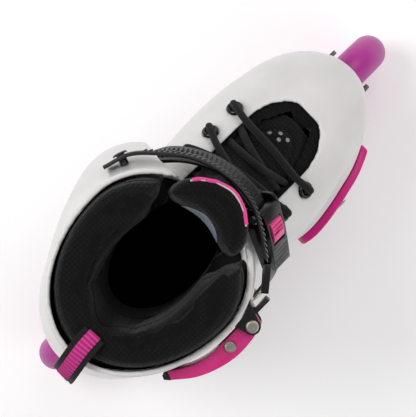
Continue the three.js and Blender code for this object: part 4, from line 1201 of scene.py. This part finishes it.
def makeCollarPad():
    pad = padding(makeCollar(), collar)
    # a sewn channel under the rim and the two that run down beside the throat
    rim = [[legPoint(z, collarInset(z) + 1, 0, a) for a in np.linspace(0.62, 2 * math.pi - 0.62,
        120)] for z in (302, 286)]
    lower = [[-38 + math.cos(a) * (29 + (22 if math.cos(a) > 0 else 12)), 29 * math.sin(a), 282]
             for a in np.linspace(0.95, 2 * math.pi - 0.95, 100)]
    lines = [onSurface(pad, line)[0] for line in (*rim, lower)]
    sew(pad, lines, 1.3, 1.5)
    finishPiece(pad, "mesh", "cuff", ["liner_collar"], 70)
    for i, line in enumerate(lines):
        places = onSurface(pad, line)[0]
        below = onSurface(pad, places + np.array([0, 0, -2.4]))[0]
        stitchAlong(f"collarStitch{i}", pad, below, "cuff")
    return pad


def clothPanel(name, pad, corners, material, bodyName, lift=0.35, count=24):
    # a thin panel sewn on a pad: a grid between four corners, laid on the surface and closed at its edge
    a, b, c, d = (np.array(p, float) for p in corners)
    grid = []
    for v in np.linspace(0, 1, count):
        for u in np.linspace(0, 1, count):
            # the corners are rounded by pulling the grid in towards its middle
            x, y = 2 * u - 1, 2 * v - 1
            x, y = x * math.sqrt(1 - y * y / 2.4), y * math.sqrt(1 - x * x / 2.4)
            u2, v2 = (x + 1) / 2, (y + 1) / 2
            grid.append((a * (1 - u2) + b * u2) * (1 - v2) + (d * (1 - u2) + c * u2) * v2)
    top, normals = onSurface(pad, grid, lift)
    low = top - normals * (lift + 0.5)
    n = count * count
    faces = []
    for j in range(count - 1):
        for i in range(count - 1):
            q = (j * count + i, j * count + i + 1, (j + 1) * count + i + 1, (j + 1) * count + i)
            faces += [q, tuple(n + k for k in q[::-1])]
    edge = list(range(count)) + [j * count + count - 1 for j in range(1, count)]
    edge += [n - 1 - i for i in range(1, count)] + [(count - 1 - j) * count for j in range(1, count - 1)]
    faces += [(edge[i], edge[(i + 1) % len(edge)], n + edge[(i + 1) % len(edge)],
        n + edge[i]) for i in range(len(edge))]
    panel = body(name, np.concatenate([top, low]), faces)
    finishPiece(panel, material, bodyName, (), 60)
    return panel


toeRing = [(64, 16.6), (69.9, 18.7), (75.9, 16.8), (81, 12.6), (84.1, 5.1), (84.2, -2.9), (82.1, -9.9),
           (76.2, -14.7), (69.9, -15.1)]


def ringOnToe():
    # the sewn arc round the dots, on the tongue's own toe end
    return [(x, y, 165) for x, y in through(toeRing, 120)]


def dotsOnToe(pad):
    # four small reflective dots inside the sewn arc
    for i, (x, y) in enumerate(((69.4, 11.4), (76.5, 5.9), (68.9, 1.5), (75.3, -3.4))):
        place, normal = onSurface(pad, [(x, y, 158)])
        dot = turned(f"toeDot{i}", [(0, -0.4), (1.5, -0.4), (1.5, 0.1), (1.1, 0.3), (0, 0.38)], 24,
                     frameAt(place[0], normal[0], (1, 0, 0)))
        finishPiece(dot, "reflective", "boot", (), 40)


def makeTonguePieces():
    pad, rows = makeTongue()
    last = tongue["steps"]
    # sewn channels: one inside each edge, a bar across where it meets the ankle
    edges = [tongueLine(rows, t, 0.42, 0.965) for t in (-0.72, 0.72)]
    bars = [[tongueRow(rows[int(share * last)], 0.5 * tongueDepth(share), t) for t in np.linspace(-0.72, 0.72,
        40)]
            for share in (0.56, 0.74)]
    padding(pad, tonguePad)
    lines = [onSurface(pad, line)[0] for line in edges + bars + [ringOnToe()]]
    sew(pad, lines, 1.2, 1.5)
    finishPiece(pad, "mesh", "boot", ["tongue"], 70)
    for i, line in enumerate(lines):
        stitchAlong(f"tongueStitch{i}", pad, line + np.array([0, 2.2 if i % 2 else -2.2, 0]) if i < 2 else line,
            "boot")
    return pad, rows


def makePiping(pad, rows):
    # bright binding along the tongue's top front edge, with a thin pale line inside it
    last = tongue["steps"]
    for name, material, back, radius in (("pinkPiping", "trim", 0.2, 1.2), ("creamPiping", "cream", 1.9, 0.6)):
        line = []
        for t in np.linspace(-0.97, 0.86, 90):
            row = rows[int(0.985 * last)]
            line.append(tongueRow(row, tongueDepth(1) / 2 - back, t,
                row["width"] + tongue["spread"]) + np.array([0, 0, 2.0]))
        places = evenly(through(onSurface(pad, line, 0.3)[0][::6], 200), 160)
        cord = tube(name, places, radius, 12)
        lengthMap(cord, places)
        finishPiece(cord, material, "boot", (), 60)


tonguePad = {"voxel": 3.6, "pressure": 4.0, "cap": 2.2, "shrink": 0.9}
pullTab = {"thick": 1.9, "width": 15, "edge": 3.0}


def makePullTab():
    knots = [((-83, -3.4, 313), (0.1, 0, 1), 15), ((-92, -4, 315), (-0.1, 0, 1), 15),
             ((-104, -6, 311.2), (-0.5, 0, 1), 15), ((-112, -7.5, 303), (-1, 0, 0.5), 15),
             ((-116, -8, 289), (-1, 0, 0.1), 15)]
    tape, rows = strap("pullTape", knots, pullTab["thick"], 80, 0.6, False, 9)
    line = [row["at"] for row in rows]
    lengthMap(tape, line, [row["across"] for row in rows])
    finishPiece(tape, ["webbing", "binding"], "cuff", ["pull_tab"], 50)
    for face in tape.data.polygons:
        place = np.array(face.center) / mm
        row = rows[int(np.argmin([np.linalg.norm(place - row["at"]) for row in rows]))]
        face.material_index = 1 if abs(np.dot(place - row["at"],
            row["across"])) > pullTab["width"] / 2 - pullTab["edge"] else 0
    ribPiece = loft("rib", [[[0.75 * math.cos(a), y, 0.42 * math.sin(a)] for a in np.linspace(0, 2 * math.pi,
        10, endpoint=False)]
                            for y in np.linspace(-4.2, 4.2, 3)])
    over = [row["at"] + row["out"] * pullTab["thick"] / 2 for row in rows]
    ribs = rowAlong("pullRibs", over, [row["out"] for row in rows], ribPiece, 2.6, "webbing")
    ribs.data.shade_smooth()
    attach(ribs, "cuff")


def makeFootbed():
    depth = boot["shellWall"] + 0.5 + 8
    low = boot["soleZ"] + depth
    bed = foot("footbed", depth + 0.8)
    carve(bed, block("slab", (-120, 120), (-60, 60), (low + 0.6, low + 4.6)), "INTERSECT")
    soften(bed, 1.2, 3)
    finishPiece(bed, "footbed", "boot", ["footbed"], 60)


sock = makeLinerLower()
print("lower liner")
tonguePiece, tongueRows = makeTonguePieces()
makePiping(tonguePiece, tongueRows)
dotsOnToe(tonguePiece)
clothPanel("greyLining", tonguePiece, ((0, 15, 250), (0, -15, 250), (4, -15, 302), (4, 15, 302)), "patch",
    "boot")
print("tongue")
makeCollarPad()
makePullTab()
makeFootbed()
print("collar, pull tab and footbed")


def toothPiece(width):
    # one ramped ratchet tooth, standing on XY
    outline = [(-1.45, -0.4), (1.2, -0.4), (1.25, 0), (1.15, ladder["tooth"] - 0.1), (0.85, ladder["tooth"]),
        (-1.4, 0.1)]
    piece = prism("tooth", outline, -width / 2, width / 2, "Y")
    return bevel(piece, 0.15, 1, 30)


def ladderStrap(name, knots, node, bodyName, bolt, toothWidth):
    band, rows = strap(name, knots, ladder["thick"], 120, 0.8)
    carve(band, hole(2.9, bolt))
    first = int(len(rows) * ladder["bare"])
    rowsUsed = rows[first:-3]
    line = [row["at"] + row["out"] * ladder["thick"] / 2 for row in rowsUsed]
    teeth = rowAlong(f"{name}Teeth", line, [row["out"] for row in rowsUsed], toothPiece(toothWidth),
        ladder["pitch"], "black")
    whole = joinInto(band, teeth)
    return finishPiece(whole, "black", bodyName, [node], 30)


def boltOn(knots, count=30, index=3):
    row = stationsOf(knots, count)[index]
    return frameAt(row["at"], row["out"], (1, 0, 0))


def makeBuckle():
    half = buckle["width"] / 2
    # cheek walls with a waved top edge on a thin floor
    wall = through([(3, -3.4, 0), (3, 2, 0), (4.2, 6.8, 0), (8, 8.5, 0), (14, 8.4, 0), (19, 6.6, 0),
                    (23, 6.6, 0), (27, 4.4, 0), (31, 3.6, 0), (36, 1.4, 0), (43, 0, 0), (47, -2, 0),
                    (47, -3.4, 0)], 90)[:, :2]
    base = block("buckleBase", (2, 49), (-half, half), (-4.9, -2.9))
    for side in (-1, 1):
        low, high = sorted((side * half, side * (half - 2)))
        carve(base, prism("cheek", wall, low, high, "Y"), "UNION")
    carve(base, hole(2.15, turnAbout("X", 90, (buckle["pinX"], 0, buckle["pinZ"]))))
    carve(base, hole(2.9, turnAbout("X", 0, (42, 0, 0))))
    bevel(base, 0.5, 2, 35)
    finishPiece(inBuckle(base), "gloss", "boot", ["buckle_base"], 35)

    half -= 2.35
    side = [(7, 3.8), (7.3, 7), (8.4, 9), (10.5, 10), (15, 10.3), (20, 10), (28, 8.6), (36, 6.8), (46, 4.4),
            (50.6, 3), (51, 2.2), (50, 1), (45, 1), (34, 3.4), (22, 3.6), (14, 2.1), (9, 2.1)]
    lever = prism("buckleLever", side, -half, half, "Y")
    carve(lever, block("pocket", (16, 33), (-half + 2.4, half - 2.4), (5.6, 14)))
    carve(lever, hole(2.15, turnAbout("X", 90, (buckle["pinX"], 0, buckle["pinZ"]))))
    for k in range(4):
        # finger ridges across the tail of the lever
        x = 37.5 + 3 * k
        carve(lever, block("groove", (x, x + 1.1), (-half + 1.2, half - 1.2), (6.35 - 0.78 * k * 0.9, 12)))
    bevel(lever, 0.45, 2, 35)
    finishPiece(inBuckle(lever), "gloss", "buckle_lever", ["buckle_lever"], 35)

    half -= 2.4 + 0.35
    top = [(16.5, 6), (32, 6), (31.6, 7.6), (30, 9), (26, 10.4), (21, 11), (17.6, 10.8), (16.7, 9.5)]
    tabPiece = prism("releaseTab", top, -half, half, "Y")
    for k in range(3):
        x = 19.5 + 2.6 * k
        carve(tabPiece, block("groove", (x, x + 0.9), (-half + 0.8, half - 0.8), (10.1 - 0.15 * k, 13)))
    bevel(tabPiece, 0.4, 2, 35)
    finishPiece(inBuckle(tabPiece), "tab", "release_tab", ["buckle_release_tab"], 35)

    reach = buckle["width"] / 2 + 0.4
    pin = turned("bucklePin", [(0, -reach), (2, -reach), (2, reach), (3.1, reach), (3.2, reach + 0.4),
                               (2.6, reach + 1.2), (0, reach + 1.3)], 40, turnAbout("X", 90,
                               (buckle["pinX"], 0, buckle["pinZ"])))
    finishPiece(inBuckle(pin), "steel", "boot", ["buckle_pin"], 30)


def makeBaseStrap():
    down = lambda d, drop: tuple(buckleHead + d * buckleLead - drop * buckleOut)
    out = tuple(buckleOut)
    knots = [(down(39, 6.4), out, 15), (down(47, 6.4), out, 15), ((4, -56.6, 171), (0.2, -1, 0.2), 16),
             ((-8, -59.5, 160), (0, -1, 0.1), 18), ((-16, -59, 152), (-0.05, -1, 0.1), 18)]
    band = strap("buckleBaseStrap", knots, 1.8, 80, 0.6)[0]
    tail = buckleMatrix @ Matrix.Translation((42 * mm, 0, 0))
    bolt = frameAt((-12.5, -59.3, 155), (0, -1, 0.1), (1, 0, 0))
    for place in (tail, bolt):
        carve(band, hole(2.9, place))
    finishPiece(band, "black", "boot", ["buckle_base_strap"], 35)
    rivetAt("baseStrapRivet", bolt, -8, 1.8, "buckle_strap_bolt", "boot")


instepBolt = boltOn(instepKnots())
ladderStrap("instepLadder", instepKnots(), "instep_ladder_strap", "boot", instepBolt, 11)
rivetAt("instepRivet", instepBolt, -5, 1.6, "instep_strap_bolt", "boot")
makeBuckle()
makeBaseStrap()
print("instep strap and buckle")


lever = {"x": -17, "y": -65, "arm": 18, "low": 253, "high": 277, "strapZ": 262}


def cuffKnots():
    z = lever["strapZ"]
    return [((-16, 63.4, z), (0.05, 1, 0), 18), ((0, 58.6, z), (0.5, 0.9, 0), 18),
            ((14, 46, z), (0.75, 0.7, 0), 16), ((27, 29, z), (0.85, 0.5, 0), 14),
            ((33.5, 8, z), (1, 0.1, 0), 13),
            ((32.5, -12, z), (1, -0.3, 0), 13),
            ((25, -28, z), (0.8, -0.65, 0), 13), ((14, -44, z), (0.75, -0.7, 0), 13)]


def cuffSkin(inset):
    return leg("cuffSkin", inset, wingBulge, 230, 300, 24, 120)


def pinHole(x, y):
    return hole(2.15, turnAbout("X", 0, (x, y, 0)), 230, 300)


def makeCuffFastening():
    x, y, z = lever["x"], lever["y"], lever["strapZ"]
    low, high = lever["low"], lever["high"]
    bolt = boltOn(cuffKnots())
    ladderStrap("cuffLadder", cuffKnots(), "cuff_ladder_strap", "cuff", bolt, 10)
    rivetAt("cuffRivet", bolt, -5, 1.6, "cuff_strap_bolt", "cuff", "black")

    catch = prism("cuffCatch", [(16, -47), (9, -53), (2.6, -58.5), (-0.5, -55), (5, -50), (12.5, -43.2)], z - 8,
        z + 8)
    carve(catch, cuffSkin(-0.35))
    slotBlock = block("slot", (-4, 3), (-3, 3.6), (-7.2, 7.2))
    slotBlock.data.transform(Matrix.Translation(Vector((14, -44, z)) * mm) @ Matrix.Rotation(math.radians(55),
        4, "Z"))
    carve(catch, slotBlock)
    keepBiggest(catch)
    bevel(catch, 0.5, 2, 35)
    finishPiece(catch, "gloss", "cuff", ["cuff_catch"], 35)

    arc = [(x + 5.2 * math.cos(a), y + 5.2 * math.sin(a)) for a in np.linspace(math.pi, 2 * math.pi, 30)]
    bracket = prism("leverBracket", arc + [(x + 9, -54), (x - 9, -54)], low - 3, high + 3)
    carve(bracket, block("cut", (x - 12, x + 8.5), (y - 7, -59.2), (low - 0.35, high + 0.35)))
    carve(bracket, cuffSkin(-0.35))
    carve(bracket, pinHole(x, y))
    bevel(bracket, 0.5, 2, 35)
    finishPiece(bracket, "gloss", "cuff", ["lever_bracket"], 35)

    outside = through([(x + 3.6, y - 3.6, 0), (x - 7, -71, 0), (x - 20, -71.6, 0), (x - 33, -69, 0),
                       (x - 45, -64, 0), (x - 57, -55, 0)], 60)
    inside = through([(x - 55, -50, 0), (x - 43, -57, 0), (x - 31, -60.2, 0), (x - 17, -60.4, 0), (x, -60.4, 0),
                      (x + 4.6, y + 2, 0)], 60)
    handle = prism("cuffLever", [tuple(p[:2]) for p in np.concatenate([outside, inside])], low, high)
    carve(handle, block("pocket", (x - 24, x + 8), (-80, -55), (low + 4, high - 4)))
    carve(handle, pinHole(x, y))
    carve(handle, pinHole(x - lever["arm"], y))
    carve(handle, cuffSkin(-0.9))
    bevel(handle, 1.1, 3, 35)
    finishPiece(handle, "pink", "cuff_lever", ["cuff_lever"], 35)
    # the overmoulded black grip on the tip
    grip = prism("leverGrip", [(x - 49, -60.8), (x - 58, -54.9), (x - 60.5, -52.2), (x - 59.5, -49.6),
                               (x - 56, -48.6), (x - 48.5, -54.2)], low + 3.5, high - 3.5)
    carve(grip, cuffSkin(-0.9))
    bevel(grip, 0.9, 3, 35)
    finishPiece(grip, "black", "cuff_lever", (), 35)

    lowArm, highArm = low + 4.35, high - 4.35
    ax = x - lever["arm"]
    arm = prism("cuffLink", [(ax - 3.2, y + 1.5), (ax - 1.6, y + 2.8), (ax, y + 3.2), (x, y + 5), (0, -58.6),
                             (0.6, -61.6), (x, y + 2.8), (ax, y - 3.2), (ax - 1.6, y - 2.8),
                             (ax - 3.2, y - 1.5)], lowArm,
                             highArm)
    carve(arm, pinHole(ax, y))
    carve(arm, cuffSkin(-0.6))
    bevel(arm, 0.5, 2, 35)
    finishPiece(arm, "black", "cuff_link", ["cuff_link"], 35)

    top = high + 3.35
    profile = [(0, high - 3.5), (2, high - 3.5), (2, top), (3.9, top), (4, top + 0.4), (3.4, top + 1.4),
               (2.8, top + 1.6), (0, top + 1.6)]
    upper = turned("leverPivotTop", profile, 48, turnAbout("X", 0, (x, y, 0)))
    carve(upper, hexSocket(3.6, top + 0.5, top + 5, turnAbout("X", 0, (x, y, 0))))
    finishPiece(upper, "steel", "cuff", ["lever_pivot_top"], 30)
    turnOver = turnAbout("X", 180, (x, y, low + high))
    under = turned("leverPivotBottom", profile, 48, turnOver)
    carve(under, hexSocket(3.6, top + 0.5, top + 5, turnOver))
    finishPiece(under, "steel", "cuff", ["lever_pivot_bottom"], 30)
    top = high + 0.35
    pin = turned("linkPin", [(0, low - 0.5), (2, low - 0.5), (2, top), (3.7, top), (3.8, top + 0.4),
                             (3.1, top + 1.4), (2.6, top + 1.5), (0, top + 1.5)], 48, turnAbout("X", 0,
                             (ax, y, 0)))
    carve(pin, hexSocket(3.4, top + 0.4, top + 5, turnAbout("X", 0, (ax, y, 0))))
    finishPiece(pin, "steel", "cuff_lever", ["link_pin"], 30)


makeCuffFastening()
print("cuff fastening")


def makeFloor():
    mesh = bpy.data.meshes.new("floor")
    mesh.from_pydata([(-6, -6, 0), (6, -6, 0), (6, 6, 0), (-6, 6, 0)], [], [(0, 1, 2, 3)])
    floor = bpy.data.objects.new("floor", mesh)
    bpy.context.collection.objects.link(floor)
    # a white acrylic sheet with a soft light under it, so that the ground stays paler than the shell
    mat = startMaterial("acrylicFloor", "#F6F6F6", 0.7, Emission_Color=(1, 1, 1, 1), Emission_Strength=0.22)[0]
    mesh.materials.append(mat)


def makeLight(name, place, aim, size, watts):
    light = bpy.data.lights.new(name, "AREA")
    light.shape, light.size, light.energy = "DISK", size, watts
    obj = bpy.data.objects.new(name, light)
    bpy.context.collection.objects.link(obj)
    back = unit(np.array(place) - np.array(aim))
    right = unit(np.cross((0.01, 0.02, 1) if abs(back[2]) < 0.9 else (0, 1, 0), back))
    up = np.cross(back, right)
    turn = Matrix.Identity(4)
    for i in range(3):
        turn[i][0], turn[i][1], turn[i][2], turn[i][3] = right[i], up[i], back[i], place[i]
    obj.matrix_world = turn


def makeCamera():
    lean, side, roll = math.radians(4), math.radians(-1), math.radians(-43.946)
    back = unit((math.sin(lean), -math.sin(side) * math.cos(lean), math.cos(side) * math.cos(lean)))
    right0 = unit(np.cross((0, 1, 0), back))
    up0 = np.cross(back, right0)
    right = math.cos(roll) * right0 + math.sin(roll) * up0
    up = -math.sin(roll) * right0 + math.cos(roll) * up0
    data = bpy.data.cameras.new("camera")
    data.sensor_width, data.lens = 36, 199.7
    camera = bpy.data.objects.new("camera", data)
    bpy.context.collection.objects.link(camera)
    place = (0.10747, 0.02683, 1.63586)
    turn = Matrix.Identity(4)
    for i in range(3):
        turn[i][0], turn[i][1], turn[i][2], turn[i][3] = right[i], up[i], back[i], place[i]
    camera.matrix_world = turn
    bpy.context.scene.camera = camera


def makeWorld():
    world = bpy.data.worlds.new("studio")
    world.use_nodes = True
    world.node_tree.nodes["Background"].inputs["Color"].default_value = (1, 0.985, 0.98, 1)
    world.node_tree.nodes["Background"].inputs["Strength"].default_value = 0.36
    bpy.context.scene.world = world


makeFloor()
makeWorld()
makeLight("key", (-0.35, 0.75, 1.5), (0, 0, 0.15), 0.8, 12)
makeLight("fill", (0.9, 0.2, 1.3), (0, 0, 0.15), 1.1, 5)
makeLight("rim", (0.3, -1.0, 0.7), (0, 0, 0.12), 0.8, 2.5)
makeCamera()
bpy.context.scene.view_settings.view_transform = "Standard"

print("done")
